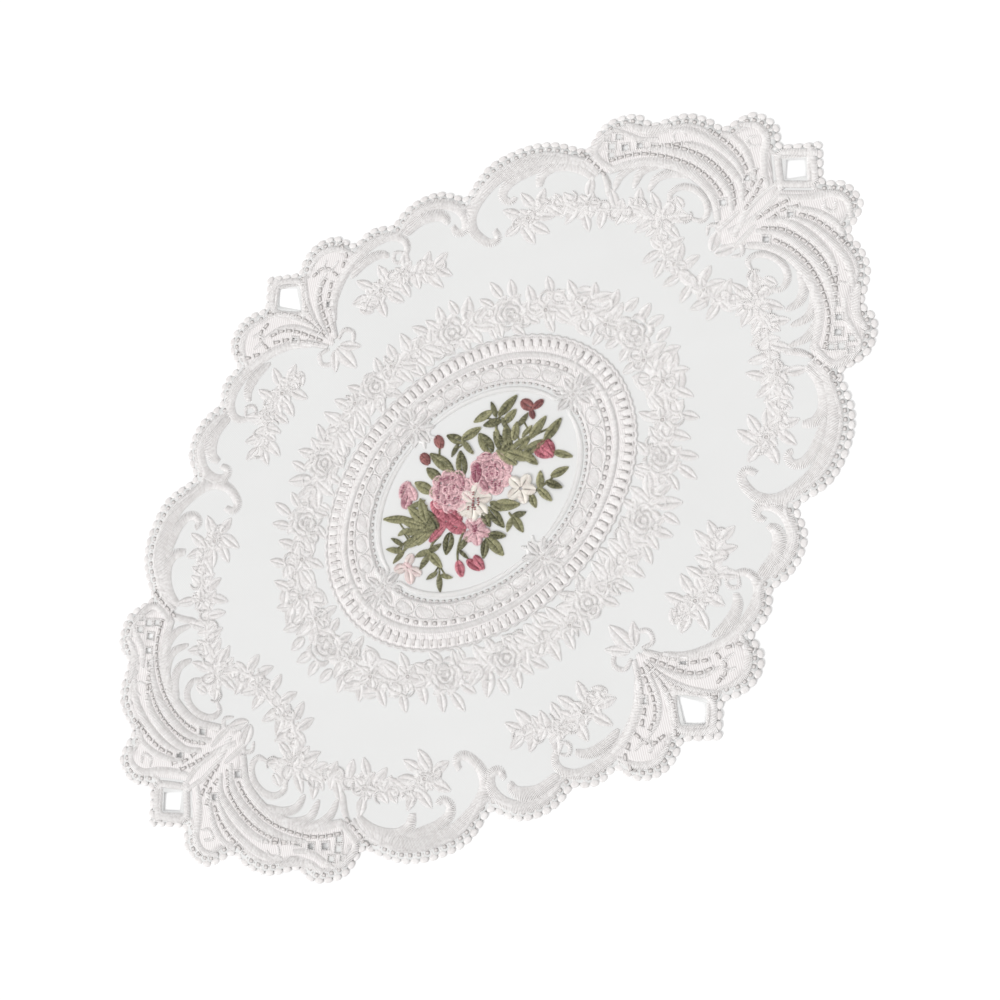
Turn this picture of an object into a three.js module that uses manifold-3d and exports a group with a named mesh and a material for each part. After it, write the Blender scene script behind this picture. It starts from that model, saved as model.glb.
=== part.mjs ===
// Lace placemat: one flat cloth with machine-embroidered white lace, and a small
// coloured bouquet stitched in its middle. Millimetres, +X along the mat, +Z up.
import * as THREE from 'three';
import { mergeVertices } from 'three/addons/utils/BufferGeometryUtils.js';
import Module from 'manifold-3d';

const wasm = await Module();
wasm.setup();

// Driving dimensions
const HALF_LENGTH = 225;
const HALF_WIDTH = 157;
const CLOTH_THICKNESS = 1.0;
const SATIN_HEIGHT = 0.8;
const LEAF_HEIGHT = 0.55;
const CORD_HEIGHT = 0.9;
const STITCH_SINK = 0.4;
const HEART_SHARE = 0.45;
const PETAL_DIP = 0.84;
const BOUQUET_GAP = 0.3;
const SPRIG_THICKNESS = 0.6;
const BLOOM_THICKNESS = 0.8;
const PETAL_STEP = 0.35;
const STEM_WIDTH = 1.2;
const STEM_STEP = 7;
const STALK_WIDTH = 0.9;
const TIER_TURN = 0.5;
const MARGIN = 0.4;
const MARGIN_TOP = 6;

// Border: a picot edge and an inner cord
const PICOT_PITCH = 4.45;
const PICOT_DEPTH = 1.2;
const INNER_CORD = { inset: 4.9, width: 1.8 };
const EDGE_STEP = 1.5;
const BORDER_TOLERANCE = 0.8;
const COLUMN_TOLERANCE = 1.2;

// Oval medallion round the bouquet: half axes of the middle of each ring
const MEDALLION = [
  { name: 'rim cord', x: 57.8, y: 39.6, width: 2.2, sides: 32 },
  { name: 'ladder cord', x: 73.0, y: 52.0, width: 2.4, sides: 36 },
  { name: 'wavy edge', x: 85.0, y: 59.8, width: 2.4, sides: 52, depth: 1.3 },
];
const BLOCK_RING = { x: 65.6, y: 45.8, length: 7.4, width: 4.6, count: 30, slant: 0.55 };

// Outer passing points of one quarter of the edge, lobe by lobe from tip to tip
const EDGE_LOBES = [
  { name: 'long tip', through: [[HALF_LENGTH, 0], [211.8, 13.2]] },
  { name: 'first', through: [[211.8, 13.2], [217.4, 19.5], [218, 27], [214.5, 35], [201.2, 39.5]] },
  { name: 'second', through: [[201.2, 39.5], [200.2, 48], [194.8, 58], [181.5, 66.2]] },
  { name: 'third', through: [[181.5, 66.2], [180.6, 74.5], [174, 80.8], [165, 84], [152, 81]] },
  { name: 'fourth', through: [[152, 81], [144, 96.5], [131.5, 106.4], [114, 112.3], [96, 109.2]] },
  { name: 'fifth', through: [[96, 109.2], [90.3, 120.6], [80, 126.8], [70, 128.4], [61.6, 127]] },
  { name: 'sixth', through: [[61.6, 127], [56.5, 132.2], [50, 134.8], [42.3, 134.6]] },
  { name: 'seventh', through: [[42.3, 134.6], [39, 144.6], [30, 150], [20, 149.8], [12.4, 146.2]] },
  { name: 'short tip', through: [[12.4, 146.2], [0, HALF_WIDTH]] },
];

// Openings over four millimetres, in one quarter
const TIP_OPENINGS = [
  { name: 'long tip diamond', outline: [[201, 0], [208, -6], [214, 0], [208, 6]] },
  { name: 'short tip diamond', outline: [[0, 130.5], [6.5, 141], [0, 148], [-6.5, 141]] },
];
const FAN_CELLS = [
  { x: 174.6, y: 16.4, size: 4.3, turn: 55 },
  { x: 190.2, y: 14.6, size: 4.1, turn: 50 },
  { x: 163.8, y: 67.6, size: 4.3, turn: 140 },
  { x: 170.8, y: 69.6, size: 4.1, turn: 137 },
  { x: 12.4, y: 121.6, size: 4.3, turn: 50 },
];

// Satin scrolls and fan ribs of one quarter, widest in the middle
const SCROLLS = [
  {
    name: 'fan rib, inner', width: 2.6,
    through: [[164, 5], [172, 12.5], [177.5, 22], [178.6, 33], [175.5, 45], [168, 57], [155, 67]],
  },
  {
    name: 'fan rib, middle', width: 2.4,
    through: [[170, 4], [178, 12], [184, 22], [185.3, 33], [182.5, 46]],
  },
  {
    name: 'fan rib, outer', width: 2.4,
    through: [[178, 4], [188, 13], [195.5, 26], [197, 38], [195, 49], [188, 58]],
  },
  { name: 'diamond frame', width: 3.2, through: [[197, -1.5], [208, 10.5], [218.5, -1.5]] },
  {
    name: 'leaf scroll, low', width: 3.4,
    through: [[161, 16], [168, 19], [172, 27], [170, 34], [161, 34.5]],
  },
  {
    name: 'leaf scroll, middle', width: 3.6,
    through: [[174, 36], [170, 43], [163, 46], [156, 44]],
  },
  { name: 'leaf scroll, high', width: 3.6, through: [[172, 46], [166, 52], [159, 54], [153, 51]] },
  {
    name: 'fourth lobe scroll', width: 4.2,
    through: [[97, 86], [93.5, 82.5], [89, 86], [89, 94], [93.5, 101], [103, 104.6], [114, 105.8]],
  },
  {
    name: 'fourth lobe hook', width: 3.4,
    through: [[108, 87], [110.5, 95.5], [120, 99.5], [132, 96], [142, 86], [146.5, 73]],
  },
  {
    name: 'fifth lobe scroll', width: 4.0,
    through: [[87, 98], [90.5, 106], [87, 115.5], [79.5, 120.5], [70, 121.8]],
  },
  {
    name: 'fifth lobe hook', width: 2.6,
    through: [[80.5, 101], [81, 111], [75.5, 117.5], [66, 120.5]],
  },
  {
    name: 'sixth lobe scroll', width: 3.6,
    through: [[60, 110.5], [62, 118.5], [55, 125.5], [43, 129.4], [29, 129], [17, 123.5], [9, 112]],
  },
  {
    name: 'sixth lobe hook', width: 2.6,
    through: [[48.5, 111.5], [47.6, 119.5], [40.5, 124.8], [29, 125.2]],
  },
  {
    name: 'short fan rib, outer', width: 2.6,
    through: [[3, 107], [7, 117], [13, 126], [24, 132.5], [36, 133.5]],
  },
  {
    name: 'short fan rib, middle', width: 2.4,
    through: [[1, 112], [3, 123], [6.5, 133], [12, 141]],
  },
  { name: 'short diamond frame', width: 2.8, through: [[-1.5, 126], [9.4, 141], [-1.5, 152]] },
  {
    name: 'spray stem', width: 0.9,
    through: [[147, 38], [141, 48], [133, 57.5], [122, 68.5], [108, 76.5]],
  },
  { name: 'garland stem', width: 0.9, through: [[149, 31], [141.5, 22], [138.5, 11], [139, -1.5]] },
  {
    name: 'short side spray stem', width: 0.9,
    through: [[25, 107.5], [38, 108], [50, 104], [60, 94]],
  },
];

// Small satin leaves and petals of one quarter: middle, length, width and turn
const LEAVES = [
  { name: 'fleur-de-lis', x: 0, y: 95, length: 16, width: 6, turn: 90 },
  { name: 'fleur-de-lis curl', x: 6.6, y: 100, length: 11, width: 3.8, turn: 140 },
  { name: 'knot leaf', x: 160.5, y: 4.6, length: 11, width: 5, turn: 28 },
  { name: 'star flower', x: 152.8, y: 36, length: 11, width: 3.4, turn: 65 },
  { name: 'star flower', x: 155, y: 27.5, length: 11, width: 3.8, turn: -8 },
  { name: 'star flower', x: 143.5, y: 35.5, length: 11, width: 3.4, turn: 125 },
  { name: 'star flower', x: 142, y: 27.5, length: 11, width: 3.6, turn: 175 },
  { name: 'garland leaf', x: 145, y: 13, length: 10, width: 3.6, turn: -12 },
  { name: 'garland leaf', x: 133.8, y: 9, length: 10, width: 3.6, turn: 150 },
  { name: 'spray leaf', x: 129, y: 66, length: 10, width: 3.6, turn: 70 },
  { name: 'spray leaf', x: 123.5, y: 61.5, length: 10, width: 3.6, turn: 20 },
  { name: 'spray leaf', x: 114, y: 80, length: 11, width: 4, turn: 150 },
  { name: 'spray leaf', x: 104, y: 81, length: 10, width: 4, turn: 110 },
  { name: 'short spray leaf', x: 31.5, y: 114, length: 10, width: 3.6, turn: 110 },
  { name: 'short spray leaf', x: 33, y: 101.5, length: 10, width: 3.6, turn: 80 },
  { name: 'short spray leaf', x: 46, y: 110, length: 10, width: 3.6, turn: 120 },
  { name: 'short spray leaf', x: 62, y: 100.5, length: 10, width: 3.6, turn: 25 },
  { name: 'wreath leaf', x: 26, y: 75, length: 11, width: 4.2, turn: 50 },
  { name: 'wreath leaf', x: 26.5, y: 65.5, length: 10, width: 4, turn: 92 },
  { name: 'wreath leaf', x: 34.5, y: 68, length: 11, width: 4.2, turn: 110 },
  { name: 'wreath leaf', x: 56, y: 66, length: 13, width: 4.2, turn: 40 },
  { name: 'wreath leaf', x: 56.5, y: 56, length: 11, width: 4.2, turn: 115 },
  { name: 'wreath leaf', x: 73, y: 62, length: 11, width: 4, turn: 80 },
  { name: 'wreath leaf', x: 90.5, y: 43, length: 11, width: 4, turn: 100 },
  { name: 'wreath leaf', x: 104, y: 27, length: 11, width: 4.2, turn: 150 },
  { name: 'wreath leaf', x: 108.5, y: 15.5, length: 11, width: 4.2, turn: 150 },
  { name: 'palmette, long side', x: 77, y: 0, length: 13, width: 7, turn: 0 },
  { name: 'palmette, short side', x: 0, y: 51, length: 11, width: 7, turn: 90 },
];

// White roses and ring-centred flowers of one quarter
const WHITE_FLOWERS = [
  { name: 'rose', x: 0, y: 73.5, radius: 6.2, petals: 6 },
  { name: 'rose', x: 44, y: 65, radius: 6.4, petals: 6 },
  { name: 'rose', x: 70, y: 50.5, radius: 6.6, petals: 6 },
  { name: 'rose', x: 102, y: 4, radius: 7.4, petals: 6 },
  { name: 'ring flower', x: 12.4, y: 75, radius: 4.6, petals: 5 },
  { name: 'ring flower', x: 83, y: 39, radius: 4.8, petals: 5 },
  { name: 'ring flower', x: 96, y: 26, radius: 4.6, petals: 5 },
  { name: 'ring flower', x: 97, y: 12, radius: 4.6, petals: 5 },
];

// Coloured bouquet, not mirrored: the blooms, with the thread that each is stitched in
const BLOOMS = [
  { name: 'rose_left', x: -9, y: 10.6, radius: 9.6, petals: 8, tiers: 3, thread: 'pink' },
  { name: 'rose_right', x: 10, y: 2.6, radius: 9.4, petals: 8, tiers: 3, thread: 'pink' },
  { name: 'flower_pale', x: -5.6, y: -6.2, radius: 5.4, petals: 6, tiers: 2, thread: 'cream' },
  { name: 'petals_deep', x: -20.4, y: 0.6, radius: 5.2, petals: 5, tiers: 2, thread: 'deepRose' },
  { name: 'flower_small_pink', x: -15, y: -13, radius: 5.2, petals: 6, tiers: 2, thread: 'pink' },
  { name: 'flower_cream', x: 15.2, y: -13.8, radius: 5.2, petals: 6, tiers: 2, thread: 'cream' },
  { name: 'bud_pink_top', x: -26, y: 24.6, radius: 4.5, petals: 6, tiers: 2, thread: 'pink' },
  { name: 'bud_brown_left', x: -7.2, y: 30.3, radius: 2.5, petals: 5, tiers: 1, thread: 'russet' },
  { name: 'bud_brown_right', x: 3, y: 31.4, radius: 2.6, petals: 5, tiers: 1, thread: 'russet' },
  { name: 'bud_rust_right', x: 46.5, y: 11.4, radius: 3.4, petals: 5, tiers: 1, thread: 'russet' },
  { name: 'bud_red_right', x: 36.4, y: -9, radius: 3.6, petals: 5, tiers: 2, thread: 'deepRose' },
  { name: 'bud_red_low', x: -23.8, y: -24.2, radius: 3.2, petals: 5, tiers: 2, thread: 'deepRose' },
  { name: 'bud_red_left', x: -31.8, y: -19.8, radius: 2.6, petals: 5, tiers: 1, thread: 'deepRose' },
  { name: 'flower_faint_pink', x: -50, y: -2.6, radius: 3.2, petals: 5, tiers: 1, thread: 'palePink' },
];

// Its leafy sprigs. Each leaf has the columns x, y, length, width and turn in degrees.
const SPRIGS = [
  {
    name: 'sprig_top_left',
    stem: [[-21.5, 13], [-30, 14], [-36, 9], [-44, 8.5], [-50, 7.5]],
    leaves: [
      [-40, 21.6, 9, 3, 150], [-35, 17.5, 10, 4.2, 120], [-29, 19.5, 9, 3.4, 88], [-24, 18, 9, 3.4, 40],
      [-36.5, 12.6, 9, 3.4, 170], [-30, 9.5, 14, 6.4, 145],
      [-34, 4.6, 12, 4.6, 165], [-45, 11.5, 6, 2.4, 120],
      [-49.6, 10.4, 5, 2.2, 150], [-48, 5.4, 6, 2.4, 25], [-40, 4.6, 8, 3, 25],
    ],
  },
  {
    name: 'sprig_low_left',
    stem: [[-27, -3.5], [-34, -2.6], [-39, -6], [-40.5, -13]],
    leaves: [
      [-40, -3.4, 9, 3.2, 20], [-36.4, -8.6, 8, 3.4, 80],
      [-28.4, -6.6, 9, 3.6, 38], [-43.4, -13, 6, 2.2, 175],
      [-43.4, -17, 7.5, 2.6, 52], [-37.6, -16.6, 6.5, 2.2, 130],
    ],
  },
  {
    name: 'sprig_low_middle',
    stem: [[-21, -12], [-26, -12.6], [-29.5, -16.6]],
    leaves: [[-24, -11.4, 8, 2.8, 20], [-25.6, -16.4, 7, 2.2, 96]],
  },
  {
    name: 'leaves_low_left',
    stem: [[-12.4, -19.2], [-12.4, -26]],
    leaves: [
      [-12.4, -24.6, 10.5, 4.2, 92], [-16.8, -21.2, 7.6, 3.4, 28], [-8.4, -21, 7.6, 3.2, 150],
    ],
  },
  {
    name: 'leaves_low_middle',
    stem: [[2, -19.4], [2, -25]],
    leaves: [[2, -24, 9.5, 3.8, 88], [-1.4, -21.6, 6.4, 2.8, 25], [5.8, -21.4, 7, 2.8, 165]],
  },
  {
    name: 'leaves_under_blooms',
    stem: [[-3.4, -12.4], [2, -12], [6, -13]],
    leaves: [[-3, -15.4, 10, 4.2, 80], [6.4, -14.4, 10, 4.6, 125], [1, -13.4, 7, 3, 100]],
  },
  {
    name: 'sprig_low_right',
    stem: [[16, -21], [22, -19.6], [28, -21], [35, -21.6]],
    leaves: [
      [16.4, -22, 7.5, 3.2, 70], [24, -17.6, 8, 3.4, 40], [21.4, -23.2, 8, 3, 82],
      [27.6, -24, 7.6, 3, 105], [34, -21.4, 8, 3, 155],
    ],
  },
  {
    name: 'sprig_right',
    stem: [[20, 6], [30, 3], [38, 0], [44, -3]],
    leaves: [
      [24.6, 7.6, 12, 7, 40], [28, -2, 13, 6.4, 118], [24, 1, 12, 5.4, 150], [41, 1, 13, 3.6, 8],
      [45, -4.2, 12, 3.8, 5], [36, 3.8, 8, 2.8, 12], [38.6, 8.8, 9.6, 2.8, 12], [33.4, 7.6, 9, 3.4, 40],
      [28.4, -6.6, 8, 3.6, 75],
    ],
  },
  {
    name: 'leaf_right_low',
    stem: [[37.8, -13.6], [40.6, -17.6]],
    leaves: [[39.6, -16.4, 8, 3, 122]],
  },
  {
    name: 'sprig_top_right',
    stem: [[22.6, 13.4], [27.6, 18], [33, 19.4], [42, 19]],
    leaves: [
      [26, 24.2, 9, 3.2, 165], [32.4, 22.8, 7.5, 2.4, 62],
      [39, 19.4, 10.5, 3, 2], [26.4, 18.6, 8, 3.2, 150],
      [35.4, 15.2, 8, 3, 2], [25.8, 14.4, 7, 2.8, 70],
    ],
  },
  {
    name: 'leaves_top_right',
    stem: [[11.4, 17.5], [11, 22.5], [13.5, 23.6]],
    leaves: [
      [9.8, 26, 9, 3.2, 108], [16.4, 23.4, 8.4, 3.6, 165], [6, 22.6, 7.6, 2.2, 10],
      [11.6, 18.2, 7, 2.8, 85],
    ],
  },
  {
    name: 'leaf_top_wide_right',
    stem: [[18.6, 12.4], [19, 17]],
    leaves: [[18.6, 15.6, 9.5, 5.4, 78]],
  },
  {
    name: 'leaves_top_middle',
    stem: [[1, 16.5], [-1, 22], [0.5, 28.4]],
    leaves: [[4.4, 16.4, 9.5, 4.8, 62], [-3.4, 24.8, 9, 5, 92], [1, 22.6, 7.5, 3, 115]],
  },
  {
    name: 'leaf_top_middle_left',
    stem: [[-10, 22.4], [-10, 25]],
    leaves: [[-10, 23.8, 6.8, 4, 88]],
  },
  {
    name: 'leaf_top_left',
    stem: [[-17, 18.5], [-17.4, 22.6]],
    leaves: [[-17, 21.4, 9, 4.6, 112]],
  },
];

// Colours of the threads, from the photograph, and the finish that each kind has
const THREADS = {
  white: '#ece7e5',
  pink: '#d99aa4',
  palePink: '#ecd3d3',
  deepRose: '#b8586a',
  russet: '#9c5a60',
  cream: '#f0e6da',
  leaf: '#74754f',
};
const LACE_FINISH = { roughness: 0.85, metalness: 0 };
const BOUQUET_FINISH = { roughness: 0.65, metalness: 0 };

// Smooth line through hand-placed points
function smoothLine(through, step) {
  const curve = new THREE.SplineCurve(through.map(([x, y]) => new THREE.Vector2(x, y)));
  return curve.getSpacedPoints(Math.max(1, Math.round(curve.getLength() / step)));
}

// One closed path round the mat, from the mirrored lobes of one quarter
function quarterEdge(step) {
  const points = [];
  for (const lobe of EDGE_LOBES) {
    const line = smoothLine(lobe.through, step);
    points.push(...line.slice(0, -1));
  }
  points.push(new THREE.Vector2(0, HALF_WIDTH));
  return points;
}

function fourQuarters(quarter) {
  const back = [...quarter].reverse();
  const flip = (points, sx, sy) => points.map((p) => new THREE.Vector2(p.x * sx, p.y * sy));
  return [
    ...quarter.slice(0, -1), ...flip(back, -1, 1).slice(0, -1),
    ...flip(quarter, -1, -1).slice(0, -1), ...flip(back, 1, -1).slice(0, -1),
  ];
}

// Path moved inward by its own normals, without the points that come too close to it
function insetPath(path, distance) {
  const tooClose = distance * 0.985;
  const moved = path.map((point, i) => {
    const before = path[(i + path.length - 1) % path.length];
    const after = path[(i + 1) % path.length];
    const along = after.clone().sub(before).normalize();
    return new THREE.Vector2(point.x - along.y * distance, point.y + along.x * distance);
  });
  return moved.filter((point) => path.every((p) => p.distanceTo(point) > tooClose));
}

// Open line again, with only the points that its shape needs, and without its last one
function simplerLine(points, tolerance) {
  const chord = new THREE.Line3();
  chord.start.set(points[0].x, points[0].y, 0);
  chord.end.set(points.at(-1).x, points.at(-1).y, 0);
  const foot = new THREE.Vector3();
  let farthest = 0;
  let reach = 0;
  points.forEach((point, i) => {
    const place = new THREE.Vector3(point.x, point.y, 0);
    const gap = chord.closestPointToPoint(place, true, foot).distanceTo(place);
    if (gap > reach) {
      reach = gap;
      farthest = i;
    }
  });
  if (reach <= tolerance) return [points[0]];
  const before = simplerLine(points.slice(0, farthest + 1), tolerance);
  return [...before, ...simplerLine(points.slice(farthest), tolerance)];
}

// Closed path again, with only the points that its shape needs
function simplerPath(path, tolerance) {
  const half = Math.floor(path.length / 2);
  const first = simplerLine(path.slice(0, half + 1), tolerance);
  return [...first, ...simplerLine([...path.slice(half), path[0]], tolerance)];
}

// Closed path moved sideways at its own points, so both sides of a ring keep in step
function sidePath(path, distance) {
  return path.map((point, i) => {
    const before = point.clone().sub(path[(i + path.length - 1) % path.length]).normalize();
    const after = path[(i + 1) % path.length].clone().sub(point).normalize();
    const across = new THREE.Vector2(-before.y - after.y, before.x + after.x);
    const sharpest = 0.4;
    const share = distance / Math.max(sharpest, across.lengthSq() / 2);
    return point.clone().addScaledVector(across, share);
  });
}

// Closed path again, with points at even steps along it
function evenly(path, count) {
  const closed = [...path, path[0]];
  const reach = [0];
  for (let i = 1; i < closed.length; i += 1) {
    reach.push(reach[i - 1] + closed[i].distanceTo(closed[i - 1]));
  }
  const total = reach[reach.length - 1];
  const points = [];
  let i = 1;
  for (let k = 0; k < count; k += 1) {
    const at = (total * k) / count;
    while (reach[i] < at) i += 1;
    const share = (at - reach[i - 1]) / (reach[i] - reach[i - 1]);
    points.push(closed[i - 1].clone().lerp(closed[i], share));
  }
  return points;
}

function pathLength(path) {
  return path.reduce((sum, point, i) => sum + point.distanceTo(path[(i + 1) % path.length]), 0);
}

// Edge with a small picot at each ladder rung: a tip, then a dip
function picotEdge(path) {
  const picots = 4 * Math.round(pathLength(path) / PICOT_PITCH / 4);
  const tips = evenly(path, picots * 2);
  const dips = tips.map((point, i) => {
    const before = tips[(i + tips.length - 1) % tips.length];
    const after = tips[(i + 1) % tips.length];
    const along = after.clone().sub(before).normalize();
    return new THREE.Vector2(point.x - along.y * PICOT_DEPTH, point.y + along.x * PICOT_DEPTH);
  });
  return tips.map((point, i) => (i % 2 ? dips[i] : point));
}

// Closed mesh to solid, and back
function toSolid(geometry) {
  const bare = geometry.index ? geometry.toNonIndexed() : geometry.clone();
  bare.deleteAttribute('normal');
  bare.deleteAttribute('uv');
  const merged = mergeVertices(bare, 1e-4);
  const mesh = new wasm.Mesh({
    numProp: 3,
    vertProperties: new Float32Array(merged.attributes.position.array),
    triVerts: new Uint32Array(merged.index.array),
  });
  return new wasm.Manifold(mesh);
}

function toGeometry(solid) {
  const mesh = solid.getMesh();
  const geometry = new THREE.BufferGeometry();
  geometry.setAttribute('position', new THREE.BufferAttribute(mesh.vertProperties, 3));
  geometry.setIndex(new THREE.BufferAttribute(mesh.triVerts, 1));
  geometry.computeVertexNormals();
  return geometry;
}

// Upright plate on an outline, with any holes through it
function plate(outline, bottom, top, holes = []) {
  const shape = new THREE.Shape(outline);
  shape.holes = holes.map((hole) => new THREE.Path(hole));
  const geometry = new THREE.ExtrudeGeometry(shape, { depth: top - bottom, bevelEnabled: false });
  geometry.translate(0, 0, bottom);
  return toSolid(geometry);
}

// Outline of a satin column along a line, drawn in to a point at both ends
function columnOutline(line, width) {
  const half = width / 2;
  const left = [];
  const right = [];
  line.slice(1, -1).forEach((point, i) => {
    const along = line[i + 2].clone().sub(line[i]).normalize();
    left.push(new THREE.Vector2(point.x - along.y * half, point.y + along.x * half));
    right.push(new THREE.Vector2(point.x + along.y * half, point.y - along.x * half));
  });
  return [line[0].clone(), ...right, line.at(-1).clone(), ...left.reverse()];
}

// Outline of a pointed leaf
function leafOutline({ x, y, length, width, turn }) {
  const sides = [[-0.5, 0], [-0.06, -0.5], [0.5, 0], [-0.06, 0.5]];
  const angle = THREE.MathUtils.degToRad(turn);
  return sides.map(([along, across]) => (
    new THREE.Vector2(along * length, across * width)
      .rotateAround(new THREE.Vector2(), angle)
      .add(new THREE.Vector2(x, y))
  ));
}

// Wavy round outline: one point out and one in for each petal
function petalOutline({ x, y, radius, petals }, turn = 0) {
  const points = [];
  for (let i = 0; i < petals * 2; i += 1) {
    const angle = turn + (Math.PI * i) / petals;
    const reach = i % 2 ? radius * PETAL_DIP : radius;
    points.push(new THREE.Vector2(x + reach * Math.cos(angle), y + reach * Math.sin(angle)));
  }
  return points;
}

function squareOutline({ x, y, size, turn }) {
  const angle = THREE.MathUtils.degToRad(turn);
  return [[-1, -1], [1, -1], [1, 1], [-1, 1]].map(([u, v]) => (
    new THREE.Vector2((u * size) / 2, (v * size) / 2)
      .rotateAround(new THREE.Vector2(), angle)
      .add(new THREE.Vector2(x, y))
  ));
}

function ovalPath({ x, y, sides, depth = 0 }) {
  return Array.from({ length: sides }, (_, i) => {
    const angle = (Math.PI * 2 * i) / sides;
    const out = i % 2 ? depth : 0;
    return new THREE.Vector2((x + out) * Math.cos(angle), (y + out) * Math.sin(angle));
  });
}

// An outline and its mirror images in the other quarters, without the doubles of a
// shape that lies on an axis
function mirrored(outline) {
  const middle = new THREE.Vector2();
  outline.forEach((point) => middle.addScaledVector(point, 1 / outline.length));
  const onAxis = 0.5;
  const signs = [[1, 1]];
  if (Math.abs(middle.x) > onAxis) signs.push([-1, 1]);
  if (Math.abs(middle.y) > onAxis) signs.push([1, -1]);
  if (signs.length === 3) signs.push([-1, -1]);
  return signs.map(([sx, sy]) => outline.map((p) => new THREE.Vector2(p.x * sx, p.y * sy)));
}

// Relief stitched into the cloth, from inside it up to its own height
function stitched(outline, height, holes = []) {
  return plate(outline, STITCH_SINK, CLOTH_THICKNESS + height, holes);
}

// Raised closed cord of the border, at a distance from the edge
function borderCord(path, { inset, width }) {
  const middle = simplerPath(insetPath(path, inset), BORDER_TOLERANCE);
  return stitched(sidePath(middle, -width / 2), CORD_HEIGHT, [sidePath(middle, width / 2)]);
}

// A ring of the medallion; a wavy one stands out between its waves
function medallionRing({ x, y, width, sides, depth = 0 }) {
  const outer = ovalPath({ x: x + width / 2, y: y + width / 2, sides, depth });
  const inner = ovalPath({ x: x - width / 2, y: y - width / 2, sides });
  return stitched(outer, CORD_HEIGHT, [inner]);
}

// Slanted satin blocks between the rings, leaning the other way in the next quarter
function medallionBlocks({ x, y, length, width, count, slant }) {
  return Array.from({ length: count }, (_, i) => {
    const angle = (Math.PI * 2 * (i + 0.5)) / count;
    const across = Math.atan2(x * Math.sin(angle), y * Math.cos(angle));
    const lean = slant * Math.sign(Math.sin(angle) * Math.cos(angle));
    const turn = THREE.MathUtils.radToDeg(across - lean);
    const block = { x: x * Math.cos(angle), y: y * Math.sin(angle), length, width, turn };
    return stitched(leafOutline(block), LEAF_HEIGHT);
  });
}

function scrollRelief() {
  return SCROLLS.flatMap(({ through, width }) => {
    const fine = smoothLine(through, 1);
    const line = [...simplerLine(fine, COLUMN_TOLERANCE), fine.at(-1)];
    return mirrored(columnOutline(line, width)).map((outline) => stitched(outline, SATIN_HEIGHT));
  });
}

function leafRelief() {
  const outlines = LEAVES.flatMap((leaf) => mirrored(leafOutline(leaf)));
  return outlines.map((outline) => stitched(outline, LEAF_HEIGHT));
}

function flowerRelief() {
  return WHITE_FLOWERS.flatMap((flower) => {
    const petals = mirrored(petalOutline(flower)).map((outline) => stitched(outline, LEAF_HEIGHT));
    const heart = { ...flower, radius: flower.radius * HEART_SHARE, petals: 3 };
    const hearts = mirrored(petalOutline(heart)).map((outline) => stitched(outline, CORD_HEIGHT));
    return flower.name === 'rose' ? [...petals, ...hearts] : petals;
  });
}

// The whole cloth with its lace, as one solid
function laceCloth() {
  const fine = fourQuarters(quarterEdge(EDGE_STEP));
  const openings = [
    ...TIP_OPENINGS.map((opening) => opening.outline.map(([x, y]) => new THREE.Vector2(x, y))),
    ...FAN_CELLS.map(squareOutline),
  ].flatMap(mirrored).map((outline) => plate(outline, -1, CLOTH_THICKNESS + 2));
  const ground = plate(picotEdge(fine), 0, CLOTH_THICKNESS);
  const relief = [
    borderCord(fine, INNER_CORD), ...MEDALLION.map(medallionRing), ...medallionBlocks(BLOCK_RING),
    ...scrollRelief(), ...leafRelief(), ...flowerRelief(),
  ];
  return wasm.Manifold.union([ground, ...relief]).subtract(wasm.Manifold.union(openings));
}

// The outermost stitches of a bloom, wider by a margin and running right through
function bloomMargin({ x, y, radius, petals }) {
  return plate(petalOutline({ x, y, radius: radius + MARGIN, petals }), 0, MARGIN_TOP);
}

// A bloom of the bouquet: wavy tiers of stitches, each smaller and higher
function bloom({ x, y, radius, petals, tiers }) {
  const base = CLOTH_THICKNESS + BOUQUET_GAP;
  const solids = [];
  for (let tier = 0; tier < tiers; tier += 1) {
    const reach = radius * (1 - tier / (tiers + 0.6));
    const outline = petalOutline({ x, y, radius: reach, petals: petals - tier }, tier * TIER_TURN);
    solids.push(plate(outline, base, base + BLOOM_THICKNESS + tier * PETAL_STEP));
  }
  return wasm.Manifold.union(solids);
}

function nearestPoint(points, place) {
  return points.reduce((best, p) => (p.distanceTo(place) < best.distanceTo(place) ? p : best));
}

// Straight strip between two points
function stalkOutline(from, to, width) {
  const along = to.clone().sub(from).normalize();
  const side = new THREE.Vector2(-along.y, along.x).multiplyScalar(width / 2);
  return [from.clone().sub(side), to.clone().sub(side), to.clone().add(side), from.clone().add(side)];
}

// A sprig: leaves, each on a stalk from the nearest place on the stem, all of one thickness
function sprig({ stem, leaves }, margin = 0) {
  const base = margin ? 0 : CLOTH_THICKNESS + BOUQUET_GAP;
  const top = margin ? MARGIN_TOP : base + SPRIG_THICKNESS;
  const spread = margin * 2;
  const line = smoothLine(stem, STEM_STEP);
  const outlines = line.slice(1).map((point, i) => stalkOutline(line[i], point, STEM_WIDTH + spread));
  for (const [x, y, length, width, turn] of leaves) {
    const middle = new THREE.Vector2(x, y);
    const nearest = nearestPoint(line, middle);
    outlines.push(leafOutline({ x, y, length: length + spread * 2, width: width + spread, turn }));
    if (nearest.distanceTo(middle) > STEM_WIDTH) {
      outlines.push(stalkOutline(nearest, middle, STALK_WIDTH + spread));
    }
  }
  return wasm.Manifold.union(outlines.map((outline) => plate(outline, base, top)));
}

// What is left of a solid beside others, as its one largest body
function clearOf(solid, others) {
  if (others.length === 0) return solid;
  const bodies = solid.subtract(wasm.Manifold.union(others)).decompose();
  return bodies.reduce((best, body) => (body.volume() > best.volume() ? body : best));
}

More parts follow.
